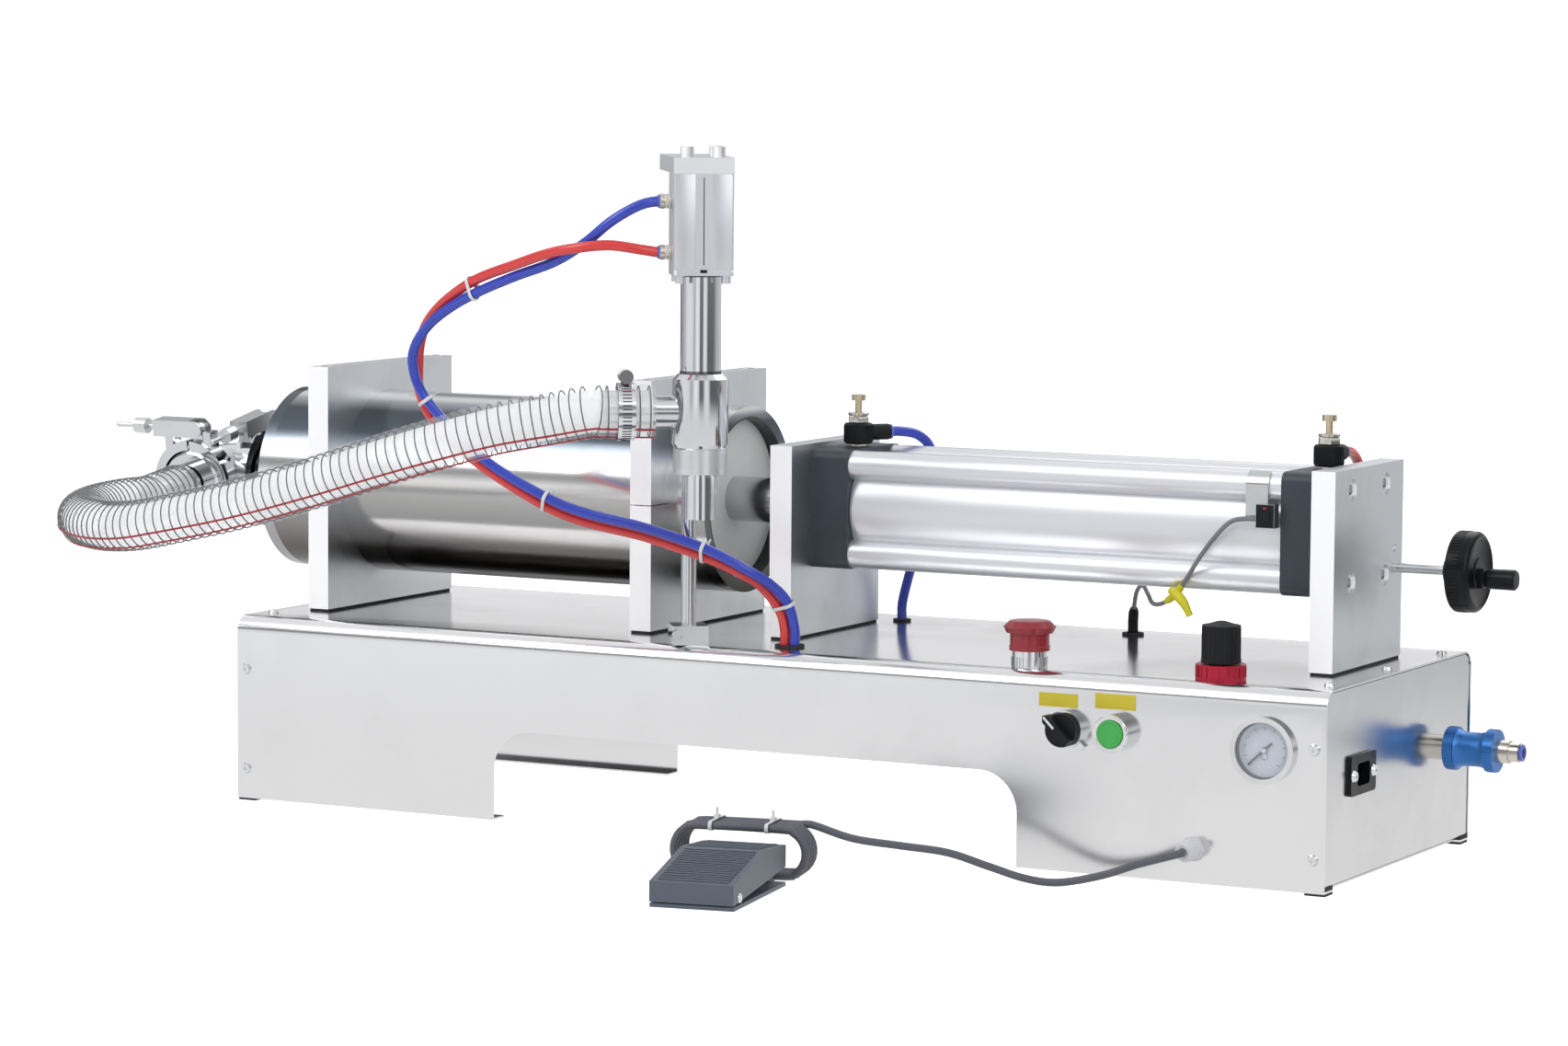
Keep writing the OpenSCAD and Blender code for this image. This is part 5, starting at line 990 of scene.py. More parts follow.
@dataclass
class Hose(Cord):
    """The clear product hose with its wire turns and its two stripes."""

    bore: float = 16.0
    pitch: float = 8.0
    rib: float = 0.8

    def build(self) -> bpy.types.Object:
        """Builds the wall, the lining, the wire turns and the stripes."""
        path = self.path()
        turn_per_step = 2 * math.pi * self.step / self.pitch
        radii = [(self.radius - self.rib * (0.5 - 0.5 * math.cos(i * turn_per_step))) * MM
                 for i in range(len(path))]
        wall = Shape().sweep(path, radii, 32, self.bore * MM).finish(self.name, self.look, sharp=80)
        inner = Shape().sweep(path[1:-1], [(self.bore + 0.25) * MM] * (len(path) - 2), 24,
                              (self.bore - 0.4) * MM)
        lining = inner.finish("hose_lining", Look.HOSE_CORE, sharp=80)
        turns = Repeats.run(Repeats.rings_along_a_path, "hose_wire", Look.WIRE, "machine",
                            Matrix.Identity(4),
                            path[2:-2], Pitch=self.pitch * MM, Radius=(self.radius - 1.6) * MM,
                            Wire=0.6 * MM, Sides=28)
        stripes = [self.stripe(f"hose_stripe_{k}", path, angle) for k, angle in enumerate((99.0, 129.0))]
        return self.declare(wall, path, [lining, turns, *stripes])

    def stripe(self, name: str, path: Sequence[Vector], angle: float) -> bpy.types.Object:
        """Lays a thin stripe along the hose, which turns slowly round it.

        Args:
            name: Name of the piece.
            path: The hose's path.
            angle: Its place round the hose at the start, in degrees.

        Returns:
            The stripe.
        """
        shape = Shape()
        rows = []
        reach = (self.radius + 0.12) * MM
        corners = [(side, reach - depth) for side,
                   depth in ((-1.9, 0), (1.9, 0), (1.9, 0.9 * MM), (-1.9, 0.9 * MM))]
        for i, (spot, frame) in enumerate(zip(path, Path.frames(path))):
            around = [(math.radians(angle + side + 40.0 * i / len(path)), far) for side, far in corners]
            outward = [(math.cos(a) * frame[0] + math.sin(a) * frame[1]) * far for a, far in around]
            rows.append([shape.bm.verts.new(spot + out) for out in outward])
        shape.skin(rows)
        return shape.finish(name, Look.STRIPE)


ELBOW_X, ELBOW_TILT = -118.0, 8.0


@dataclass
class Lines:
    """Every free hose, tube and cord of the machine."""

    made: dict[str, list[Vector]] = field(default_factory=dict)

    @staticmethod
    def mouth(d: float) -> Point:
        """Gives the point at a distance from the elbow's middle along its mouth."""
        a = math.radians(ELBOW_TILT)
        return ELBOW_X, AXIS_Y - d * math.cos(a), AXIS_Z - d * math.sin(a)

    @staticmethod
    def down(x: float, y: float) -> list[Point]:
        """Gives the last points of a tube that goes down through a grommet."""
        return [(x, y, COVER_TOP + z) for z in (14.0, 0.0, -25.0)]

    def hose(self) -> Hose:
        """Gives the product hose."""
        route = [self.mouth(68.0 + d) for d in (0, 21, 42, 50)] + HOSE_ROUTE
        route += [on_stand(-35.0 - d, -ARM_REACH, OUTLET_Z) for d in (50, 42, 21, 0)]
        return Hose("product_hose_wall", route, 21.0, Look.HOSE, ("product_hose",), stiffness="stiff",
                    step=2.0)

    def air_tubes(self) -> list[Cord]:
        """Gives the two tubes of the nozzle and the two of the air cylinder."""
        made = []
        for name, look, z, route, shift, node in (
            ("blue_tube", Look.BLUE, BLUE_PORT_Z, BLUE_ROUTE, 4.3, "blue_air_tube"),
            ("red_tube", Look.RED, RED_PORT_Z, RED_ROUTE, -4.3, "red_air_tube"),
        ):
            start = [on_stand(-23.3 - d, -ARM_REACH, z) for d in (0, 10)]
            made.append(Cord(name, start + route + self.down(485.0 + shift, 44.0), 4.0, look, (node,)))
        for (x, way), name, look, route, end in zip(
            FLOW_VALVES, ("front_cap_tube", "rear_cap_tube"), (Look.BLUE, Look.RED),
            (FRONT_TUBE_ROUTE, REAR_TUBE_ROUTE), ((481.0, 248.0), (875.0, 252.0)),
        ):
            outlet = [turned(16.0 + d, 0.0, way) for d in (0.3, 12.0, 20.0)]
            start = [(x + dx, AXIS_Y + dy, 309.0) for dx, dy in outlet]
            made.append(Cord(name, start + route + self.down(*end), 4.0, look, ("cylinder_air_tubes",)))
        return made

    def sensor_lead(self) -> Cord:
        """Gives the lead of the position switch."""
        start = [(850.0 - d, 105.2, 262.0) for d in (0.0, 10.0)]
        route = start + SENSOR_ROUTE + self.down(682.0, 257.0)
        return Cord("sensor_lead", route, 1.8, Look.LEAD, ("sensor_cable",), stiffness="limp", sides=12)

    def pedal_cord(self) -> Cord:
        """Gives the pedal's cord from the gland to its loops and the pedal."""
        free = [(846.0, -20.0 - d, 25.5) for d in (0.0, 8.0)] + PEDAL_ROUTE[::-1]
        free += [on_pedal(55.0 + d, HANK_START + HANK_ROWS * HANK_PITCH, 39.0) for d in (16.0, 8.0, 0.0)]
        loops = []
        for k in range(round(HANK_ROWS * 24), 0, -1):
            i = k % 24
            a = 2 * math.pi * i / 24
            side = 0 if i % 12 == 0 else (1 if i < 12 else -1)
            x = 22.0 - 18.0 * math.sin(a) - side * 33.0
            loops.append(on_pedal(x, HANK_START + HANK_PITCH * k / 24, 3.0 + 18.0 * (1 - math.cos(a))))
        end = [on_pedal(30.0 - d, HANK_START, 3.0) for d in (8.0, 0.0)]
        return Cord("pedal_cord_run", free + loops + end, 3.0, Look.CORD, ("pedal_cord", "cord_hank"),
                    lay="coiled",
                    sides=12)

    def build(self) -> None:
        """Builds them all, and the ties that hold the two tubes of the nozzle together."""
        for cord in [self.hose(), *self.air_tubes(), self.sensor_lead(), self.pedal_cord()]:
            self.made[cord.name] = cord.path()
            cord.build()
        self.ties()
        self.hank_ties()
        self.markers()

    @staticmethod
    def nearest(path: Sequence[Vector], spot: Vector) -> int:
        """Gives the number of the path's point that is nearest to a spot."""
        return min(range(len(path)), key=lambda i: (path[i] - spot).length)

    def markers(self) -> None:
        """Puts the yellow sleeve and its tail on the switch's lead, and a dark sleeve where it goes down."""
        lead = self.made["sensor_lead"]
        for name, spots, radius, look in (
            ("yellow_sleeve", ((787.0, 109.0, 208.0), (768.0, 124.0, 194.0)), 2.9, Look.YELLOW),
            ("dark_lead_sleeve", ((684.0, 254.0, 172.0), (682.0, 257.0, 150.0)), 4.2, Look.MATT_BLACK),
        ):
            first, last = sorted(self.nearest(lead, place(*spot)) for spot in spots)
            run = lead[first:last + 1]
            radii = [radius * MM * (0.75 if i in (0, len(run) - 1) else 1.0) for i in range(len(run))]
            Shape().sweep(run, radii, 16, 1.85 * MM).finish(name, look)
        tail = Path.curve([place(*spot) for spot in TAIL_ROUTE], 5)
        radii = [(2.6 + 1.5 * math.sin(math.pi * min(0.1 + i / (len(tail) - 1), 0.96))) * MM
                 for i in range(len(tail))]
        Shape().sweep(tail, radii, 18).finish("yellow_tail", Look.YELLOW)

    def ties(self) -> None:
        """Straps the blue and the red tube together with white ties."""
        blue, red = self.made["blue_tube"], self.made["red_tube"]
        for k, spot in enumerate(TIE_PLACES):
            at = self.nearest(blue, place(*spot))
            a = blue[at]
            b = red[self.nearest(red, a)]
            along = (blue[at + 1] - blue[at - 1]).normalized()
            span = b - a
            span -= span.dot(along) * along
            self.strap(f"white_tie_{k}", a, span, along, 4.0)

    def hank_ties(self) -> None:
        """Ties the cord's loops at both ends of the hank."""
        for k, x in enumerate((0.0, 44.0)):
            low, high = (place(*on_pedal(x, HANK_START + y, 39.0)) for y in (3.4, HANK_ROWS * HANK_PITCH))
            along = (place(*on_pedal(1, 0, 0)) - place(*on_pedal(0, 0, 0))).normalized()
            self.strap(f"hank_tie_{k}", low, high - low, along, 3.0)

    def strap(self, name: str, a: Vector, span: Vector, along: Vector, radius: float) -> None:
        """Wraps a flat strap round two tubes, with its head and a cut tail.

        Args:
            name: Name of the piece.
            a: Centre of the first tube.
            span: From there to the centre of the second tube.
            along: The way the tubes run.
            radius: Radius of the tubes.
        """
        reach = (radius + 0.5) * MM
        out = span.normalized()
        side = along.cross(out)
        shape = Shape()
        rows = []
        for k in range(24):
            t = 2 * math.pi * k / 24
            base = a + span if math.cos(t) > 0 else a
            p = base + reach * (math.cos(t) * out + math.sin(t) * side)
            away = (p - (a + span / 2)).normalized() * 0.9 * MM
            corners = ((-1.4, 0), (1.4, 0), (1.4, 1), (-1.4, 1))
            rows.append([shape.bm.verts.new(p + along * w * MM + away * d) for w, d in corners])
        shape.skin(rows, closed=True)
        head = Matrix((out, along, side)).transposed().to_4x4()
        head.translation = a + span / 2 + side * (reach + 0.8 * MM)
        head = head @ Matrix.Scale(MM, 4)
        shape.block((-2.4, -2.0, -0.6), (2.4, 2.0, 2.2), head)
        shape.block((-1.2, -0.6, 2.0), (1.2, 0.5, 7.5), head)
        shape.finish(name, Look.WHITE, bevel=0.25)


HOSE_ROUTE: list[Point] = [
    (-118, 10, 235), (-116, -25, 234), (-107, -57, 233), (-93, -84, 232), (-73, -106, 231), (-50, -124, 231),
    (-24, -138, 232), (5, -147, 235), (35, -151, 241), (100, -152, 256), (170, -151, 276), (235, -146, 297),
    (280, -138, 311), (321, -124, 323), (358, -108, 331)]
BLUE_ROUTE: list[Point] = [
    (417, -78, 493), (398, -86, 481), (376, -88, 464), (349, -88, 449), (312, -83, 437), (276, -77, 424),
    (247, -71, 411), (223, -65, 396), (207, -59, 379), (201, -53, 363), (204, -46, 343), (218, -40, 323),
    (239, -33, 301), (266, -27, 281), (307, -19, 260), (337, -13, 250), (383, -6, 241), (433, 0, 227),
    (463, 10, 212), (477, 26, 199), (486, 38, 184)]
RED_ROUTE: list[Point] = [
    (419, -78, 460), (399, -89, 463), (377, -97, 461), (349, -95, 456), (314, -87, 446), (273, -77, 433),
    (238, -65, 415), (217, -57, 398), (206, -50, 381), (200, -43, 363), (198, -38, 342), (207, -34, 320),
    (226, -26, 298), (263, -21, 274), (303, -12, 252), (333, -5, 242), (378, 3, 233), (429, 9, 219),
    (457, 19, 206), (468, 30, 196), (478, 40, 178)]
FRONT_TUBE_ROUTE: list[Point] = [
    (517, 199, 306), (522, 212, 296), (521, 222, 280), (515, 230, 260), (506, 237, 234), (495, 243, 206),
    (486, 247, 182)]
REAR_TUBE_ROUTE: list[Point] = [
    (885.5, 208, 306), (885.5, 220, 297), (885, 229, 282), (883, 236, 260), (881, 243, 234),
    (878, 248, 206), (876, 251, 182)]
SENSOR_ROUTE: list[Point] = [
    (828, 104, 259), (815, 104, 246), (802, 105, 229), (791, 108, 213), (779, 115, 200), (762, 130, 191),
    (741, 160, 187), (722, 194, 190), (704, 224, 193), (690, 244, 184)]
PEDAL_ROUTE: list[Point] = [
    (613, -97, 28), (646, -87, 24), (681, -76, 20), (710, -67, 11), (738, -60, 3), (762, -53.5, 1.2),
    (792, -45, 7.5), (818, -37, 17)]
TAIL_ROUTE: list[Point] = [(777.0, 113.0, 203.0), (783.0, 107.5, 201.5), (791.0, 104.0, 195.5),
                           (796.5, 103.5, 186.0)]
TIE_PLACES: list[Point] = [
    (270, -76, 422), (208, -43, 337), (299, -16, 258), (431, 5, 223), (482, 39, 181)]


# The machine's sub-assemblies


SOLID_LOOKS: dict[Look, str] = {
    Look.SHEET: "housing_cover", Look.END_SHEET: "end_panels service_tray",
    Look.RUBBER: "rubber_feet rubber_seals",
    Look.SCREW: "housing_screws tie_rods hose_band", Look.BLACK: "power_inlet", Look.PALE: "cable_gland",
    Look.GREY: "solenoid_valves", Look.PLATE: "cradle_bases cradle_caps cylinder_plates nozzle_arm",
    Look.TUBE: "filling_tube", Look.TUBE_END: "tube_end_cap", Look.WHITE: "filling_piston",
    Look.TURNED: "drive_rod switch_strap dose_screw nozzle_stand", Look.CAP: "air_caps",
    Look.ANODISED: "air_barrel switch_carriage",
    Look.MATT_BLACK: "air_fittings estop_plunger selector_knob regulator_knob",
    Look.BRASS: "front_flow_screw rear_flow_screw", Look.CYLINDER: "lift_cylinder",
    Look.NOZZLE: "nozzle_neck valve_body nozzle_stem nozzle_tip outlet_elbow hose_adapter clamp_rings",
    Look.SATIN_RING: "ring_nut elbow_lever port_lever", Look.CHROME: "control_bezels gauge_case",
    Look.STOP: "estop_head", Look.GREEN: "power_button", Look.CRIMSON: "regulator_body",
    Look.INK: "gauge_needle",
    Look.GLASS: "gauge_lens", Look.NICKEL: "air_inlet", Look.VALVE_BLUE: "valve_sleeve",
    Look.PEDAL: "pedal_base pedal_tread",
}


class Solids:
    """Finishes for the solids that stay."""

    @staticmethod
    def smooth_round_faces(graph: Graph, given: dict) -> bpy.types.Node:
        """Draws the tree that joins a solid's triangles and shades its round faces smooth.

        Args:
            graph: The tree.
            given: Its inputs.

        Returns:
            Its last node.
        """
        merged = graph.node("GeometryNodeMergeByDistance", {"Geometry": given["Geometry"], "Distance": 1e-6})
        faces = graph.node("GeometryNodeSetShadeSmooth", {"Geometry": merged})
        angle = graph.node("GeometryNodeInputMeshEdgeAngle").outputs["Unsigned Angle"]
        steep = graph.node("FunctionNodeCompare", {"A": angle, "B": math.radians(28)},
                           operation="GREATER_THAN")
        return graph.node("GeometryNodeSetShadeSmooth", {
            "Geometry": faces, "Selection": steep, "Shade Smooth": False}, domain="EDGE")

    def build(self, nodes: dict[str, bpy.types.Object]) -> None:
        """Paints every solid.

        Args:
            nodes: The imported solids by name.
        """
        for name, look in ((name, look) for look, names in SOLID_LOOKS.items() for name in names.split()):
            solid = nodes[name]
            material = look.value.material()
            if not solid.material_slots:
                solid.data.materials.append(material)
            for slot in solid.material_slots:
                slot.material = material
            smooth = solid.modifiers.new("smooth", "NODES")
            smooth.node_group = Graph.group(self.smooth_round_faces, "Geometry", {"Geometry": ("Geometry",)})
            LOG.info("solid %s is finished in %s", name, look.name.lower())


@dataclass
class AirCylinder:
    """Flow valves on the caps, push-in fittings, the switch and the seams."""

    cap_top: float = 298.0
    seams: tuple[float, float] = (500.0, 866.0)
    switch_at: Point = (850.0, 101.6, 256.0)
    lamp_at: Point = (857.5, 100.6, 271.0)

    def build(self) -> None:
        """Builds the flow valves, the fittings, the switch and the seams."""
        black, nickel, discs, blue, glands = (Shape() for _ in range(5))
        for k, (x, way) in enumerate(FLOW_VALVES):
            base = Axis.UP.at(place(x, AXIS_Y, self.cap_top))
            swivel = Matrix.Rotation(math.radians(way), 4, "Z") @ Matrix.Rotation(math.pi / 2, 4, "Y")
            arm = off(base, 0, 0, 11) @ swivel
            black.lathe([(2.2, 0), (2.2, 10.2), (3.2, 11.4), (17.4, 11.4), (18.4, 10.4), (18.4, 0)], base,
                        56)
            black.lathe([(9, 4.2), (9, 6.4), (25.5, 6.4), (26.6, 5.6), (26.6, 4.2), (9, 4.2)], arm, 32)
            blue.lathe([(26.6, 4.15), (26.6, 5.9), (28.2, 5.9), (28.6, 5.2), (28.6, 4.15), (26.6, 4.15)],
                       arm, 32)
            nickel.lathe([(18.5, 3.0), (18.5, 8.2), (19.1, 8.9), (23.8, 8.9), (24.4, 8.2), (24.4, 3.0),
                          (18.5, 3.0)],
                         base, 6)
            nickel.lathe(ring(-2, 2.2, 3, 6.5), off(base, 0, 0, 0.2), 6)
            discs.lathe([(24.6, 3.0), (24.6, 8.0), (26.4, 8.0), (26.8, 7.6), (26.8, 3.0), (24.6, 3.0)], base,
                        40)
            knurl(f"flow_valve_ridges_{k}", Look.MATT_BLACK, "machine", base, 10.3, 11.3, 12.5, 40, 0.45)
            knurl(f"flow_disc_ridges_{k}", Look.NICKEL, "machine", base, 25.6, 7.9, 1.6, 36, 0.35)
        for z in (RED_PORT_Z, BLUE_PORT_Z):
            frame = along_arm(-23.0, z)
            nut = [(0.1, 4.2), (0.1, 5.8), (0.5, 6.2), (4.6, 6.2), (5.0, 5.8), (5.0, 4.2), (0.1, 4.2)]
            nickel.lathe(nut, frame, 6)
            glands.lathe([(5.0, 4.2), (5.0, 5.7), (8.2, 5.7), (8.6, 5.3), (8.6, 4.2), (5.0, 4.2)], frame, 32)
            blue.lathe([(8.6, 4.15), (8.6, 5.0), (10.0, 5.0), (10.2, 4.8), (10.2, 4.15), (8.6, 4.15)], frame,
                       32)
        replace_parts(black.finish("flow_valve_bodies", Look.MATT_BLACK), "air_fittings")
        nickel.finish("valve_hexagons", Look.NICKEL, bevel=0.15, sharp=25)
        discs.finish("flow_lock_discs", Look.NICKEL)
        blue.finish("release_rings", Look.PUSH_BLUE)
        glands.finish("push_fitting_barrels", Look.NICKEL)
        self.switch()
        for k, x in enumerate(self.seams):
            joint = Axis.RIGHT.at(place(x, AXIS_Y, AXIS_Z))
            turn(f"barrel_joint_{k}", Look.RUBBER, joint, ring(-0.5, 0.5, 41.0, 43.9), 64)

    def switch(self) -> None:
        """Puts the black position switch on its strap."""
        frame = Axis.UP.at(place(*self.switch_at))
        shape = Shape().block((0.2, -1.2, 0.2), (14.8, 0.3, 17.8), frame)
        shape.block((3.5, -1.8, 4.0), (11.5, -0.9, 12.0), frame)
        shape.finish("position_switch_face", Look.MATT_BLACK, bevel=0.4)
        lens = Axis.UP.at(place(*self.lamp_at))
        Shape().block((-1.4, -0.5, -0.8), (1.4, 0.6, 0.8), lens).finish("position_switch_lamp", Look.STOP,
                                                                        bevel=0.2)


@dataclass
class DoseDrive:
    """The threaded dose screw and its black handwheel."""

    y: float = 212.0
    z: float = 220.0
    start: float = 458.3
    wheel: float = 962.0
    lead: float = 8.0
    thread: tuple[float, float] = (470.0, 895.0)

    def build(self) -> None:
        """Builds the screw, the wheel and the grip."""
        base = Axis.RIGHT.at(place(0.0, self.y, self.z))
        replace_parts(self.screw(base), "dose_screw")
        turn("screw_stop_collar", Look.SCREW, base, ring(555.7, 561.7, 3.9, 6.0), 32, "dose_wheel")
        wheel = Axis.RIGHT.at(place(self.wheel, self.y, self.z))
        rim = [(0, 0), (0, 10.2), (1.2, 11.5), (8.0, 11.5), (7.4, 27.6), (8.4, 30.0), (9.6, 31.0),
               (23.6, 31.0),
               (25.4, 30.0), (26.8, 28.0), (27.0, 26.6), (25.8, 24.6), (25.4, 12.0), (26.4, 10.6), (26.4, 0)]
        turn("handwheel", Look.BLACK, wheel, rim, 72, "dose_wheel")
        grip = [(24, 0), (24, 8.0), (30, 7.6), (31, 6.4), (33, 6.4), (34.2, 7.8), (54.4, 8.0), (55.8, 6.8),
                (56.0, 0)]
        turn("handwheel_grip", Look.BLACK, off(wheel, 4.5, 0, 0), grip, 40, "dose_wheel")
        knurl("wheel_hub_ridges", Look.BLACK, "dose_wheel", wheel, 4.6, 11.4, 6.0, 30, 0.5)
        knurl("wheel_rim_ridges", Look.BLACK, "dose_wheel", wheel, 14.4, 30.8, 8.0, 64, 0.45)

    def screw(self, base: Matrix) -> bpy.types.Object:
        """Cuts a running groove into the screw.

        Args:
            base: The frame on its axis.

        Returns:
            The screw.
        """
        shape = Shape()
        steps = round((self.wheel - self.start) / (self.lead / 8))
        rings = []
        for x in (self.start + (self.wheel - self.start) * i / steps for i in range(steps + 1)):
            rings.append([])
            for a in (2 * math.pi * k / 20 for k in range(20)):
                phase = (x / self.lead * 2 * math.pi - a) % (2 * math.pi)
                cut = phase < math.pi * 0.9 and self.thread[0] < x < self.thread[1]
                r = 3.95 - (0.55 if cut else 0.0)
                rings[-1].append(shape.bm.verts.new(base @ Vector((r * math.cos(a), r * math.sin(a), x))))
        return shape.skin(rings).finish("dose_screw_thread", Look.TURNED, "dose_wheel", sharp=60)


@dataclass
class Controls:
    """Fine detail of the stop, selector, button, regulator and gauge, and the plain labels."""

    stop_at: Point = (698.0, 28.0, COVER_TOP)
    selector_at: Point = (743.0, 0.0, 108.0)
    button_at: Point = (783.0, 0.0, 108.0)
    regulator_at: Point = (851.0, 36.0, COVER_TOP)
    gauge_at: Point = (901.0, 2.0, 103.0)
    label_spans: tuple[tuple[float, ...], ...] = ((719.4, 751.3, 123.9, 134.3), (765.4, 798.5, 125.1, 136.6))

    def build(self) -> None:
        """Builds the details of every control."""
        stop = Axis.UP.at(place(*self.stop_at))
        knurl("stop_collar_ribs", Look.CHROME, "machine", stop, 4.2, 13.1, 7.6, 32, 0.75)
        bead = [(12.6, 15.0), (12.6, 15.5), (16.0, 15.6), (16.6, 15.1), (16.6, 14.9), (12.6, 15.0)]
        turn("stop_skirt_bead", Look.STOP, stop, bead, 64, "stop_head")
        crown = [(34.6, 0), (34.6, 14.6), (35.3, 13.6), (35.6, 11.0), (35.75, 0)]
        turn("stop_crown", Look.STOP, stop, crown, 64, "stop_head")
        self.selector()
        self.button()
        self.regulator()
        self.gauge()
        self.labels()

    def selector(self) -> None:
        """Builds the selector's pointer line and knob detail."""
        spot = place(*self.selector_at)
        aslant = Matrix.Rotation(math.pi / 2, 4, "X") @ Matrix.Rotation(math.radians(135), 4, "Z")
        flat = Matrix.Translation(spot) @ aslant @ Matrix.Scale(MM, 4)
        line = Shape().block((3.0, -0.9, 20.8), (14.6, 0.9, 21.35), flat)
        line.finish("selector_pointer", Look.WHITE, "selector", bevel=0.15)
        knurl("selector_rim_ridges", Look.MATT_BLACK, "selector", Axis.FRONT.at(spot), 10.8, 12.4, 3.6, 36,
              0.3)

    def button(self) -> None:
        """Builds the button's lens with its raised edge."""
        front = Axis.FRONT.at(place(*self.button_at))
        lens = [(12.9, 0), (12.9, 10.1), (13.6, 9.8), (13.75, 8.6), (13.3, 8.2), (13.3, 0)]
        turn("button_lens", Look.GREEN, front, lens, 56, "start_button")
        lip = [(11.6, 10.9), (12.0, 14.0), (12.5, 13.6), (12.6, 12.4), (12.3, 10.9), (11.6, 10.9)]
        turn("button_ring_lip", Look.CHROME, front, lip, 56)

    def regulator(self) -> None:
        """Builds the flutes of the regulator's knob and the rims of its nut."""
        base = Axis.UP.at(place(*self.regulator_at))
        knurl("regulator_flutes", Look.MATT_BLACK, "pressure_knob", base, 26.5, 14.2, 23.0, 24, 0.5)
        foot = [(12.05, 14.0), (12.05, 15.1), (14.6, 15.1), (15.2, 14.4), (15.2, 14.0), (12.05, 14.0)]
        turn("regulator_knob_foot", Look.MATT_BLACK, base, foot, 56, "pressure_knob")
        knurl("regulator_nut_ridges", Look.CRIMSON, "machine", base, 5.5, 18.4, 8.0, 24, 0.7)

    def gauge(self) -> None:
        """Builds the gauge's dial, its ticks and the two rivets."""
        front = Axis.FRONT.at(place(*self.gauge_at))
        turn("gauge_dial", Look.DIAL, front, ring(-0.1, 0.25, 1.2, 20.8), 64)
        for name, count, radius, size in (
            ("gauge_small_ticks", 51, 16.6, (1.6, 0.22, 0.14)),
            ("gauge_large_ticks", 11, 16.0, (3.0, 0.42, 0.16))):
            Repeats.run(Repeats.blocks_around, name, Look.INK, "machine", off(front, 0, 0, 0.3), Count=count,
                        Radius=radius, Start=math.radians(-45), Step=math.radians(270) / (count - 1),
                        Size=size)
        for k, x in enumerate((-4.0, 4.0)):
            rivet = [(0.2, 0), (0.2, 1.3), (0.6, 1.1), (0.7, 0)]
            turn(f"gauge_rivet_{k}", Look.SCREW, off(front, x, -12.5, 0), rivet, 20)
        wall = [(0.25, 20.2), (0.25, 20.93), (4.2, 20.93), (4.2, 20.6), (0.25, 20.2)]
        turn("gauge_inner_wall", Look.INK, front, wall, 72)
        cap = [(1.85, 0), (1.85, 2.1), (2.6, 1.9), (2.9, 0.9), (2.95, 0)]
        turn("needle_hub_cap", Look.SCREW, front, cap, 32)
        turn("gauge_dial_ring", Look.INK, off(front, 0, -4.5, 0.0), ring(0.0, 0.4, 2.6, 3.0), 24)

    def labels(self) -> None:
        """Puts the two plain yellow labels over the selector and the button."""
        for k, (x0, x1, z0, z1) in enumerate(self.label_spans):
            plate = Shape().block((0, -0.35, 0), (x1 - x0, 0.2, z1 - z0), Axis.UP.at(place(x0, 0.0, z0)))
            plate.finish(f"plain_label_{k}", Look.LABEL, bevel=0.1)


@dataclass
class RightEnd:
    """Pins of the mains inlet and detail of the slide valve."""

    x: float = 949.0
    inlet: tuple[float, float] = (71.0, 81.0)
    valve: tuple[float, float] = (228.0, 82.0)

    def build(self) -> None:
        """Builds the pins and the valve's grip."""
        pins = Shape()
        for y, z in ((-7.0, -3.0), (0.0, 2.0), (7.0, -3.0)):
            spot = place(self.x, self.inlet[0] + y, self.inlet[1] + z)
            pins.block((-10.0, -1.1, -2.1), (-4.6, 1.1, 2.1), Axis.UP.at(spot))
        pins.finish("inlet_pins", Look.NICKEL, bevel=0.3)
        sleeve, end = (Axis.RIGHT.at(place(self.x + x, *self.valve)) for x in (11.3, 69.0))
        for k, z in enumerate((4.0, 36.0)):
            knurl(f"sleeve_ridges_{k}", Look.VALVE_BLUE, "air_sleeve", sleeve, z, 16.4, 6.4, 44, 0.3)
        waist = [(8.0, 12.9), (8.2, 15.6), (10.0, 14.2), (14.0, 13.2), (26.0, 13.2), (30.0, 14.2),
                 (31.8, 15.6),
                 (32.0, 12.9), (8.0, 12.9)]
        turn("sleeve_waist", Look.VALVE_BLUE, sleeve, waist, 64, "air_sleeve")
        release = [(0, 4.15), (0, 5.6), (1.0, 5.6), (1.4, 6.6), (2.4, 6.6), (2.8, 6.0), (2.8, 4.15),
                   (0, 4.15)]
        turn("supply_release_ring", Look.PUSH_BLUE, end, release, 40)


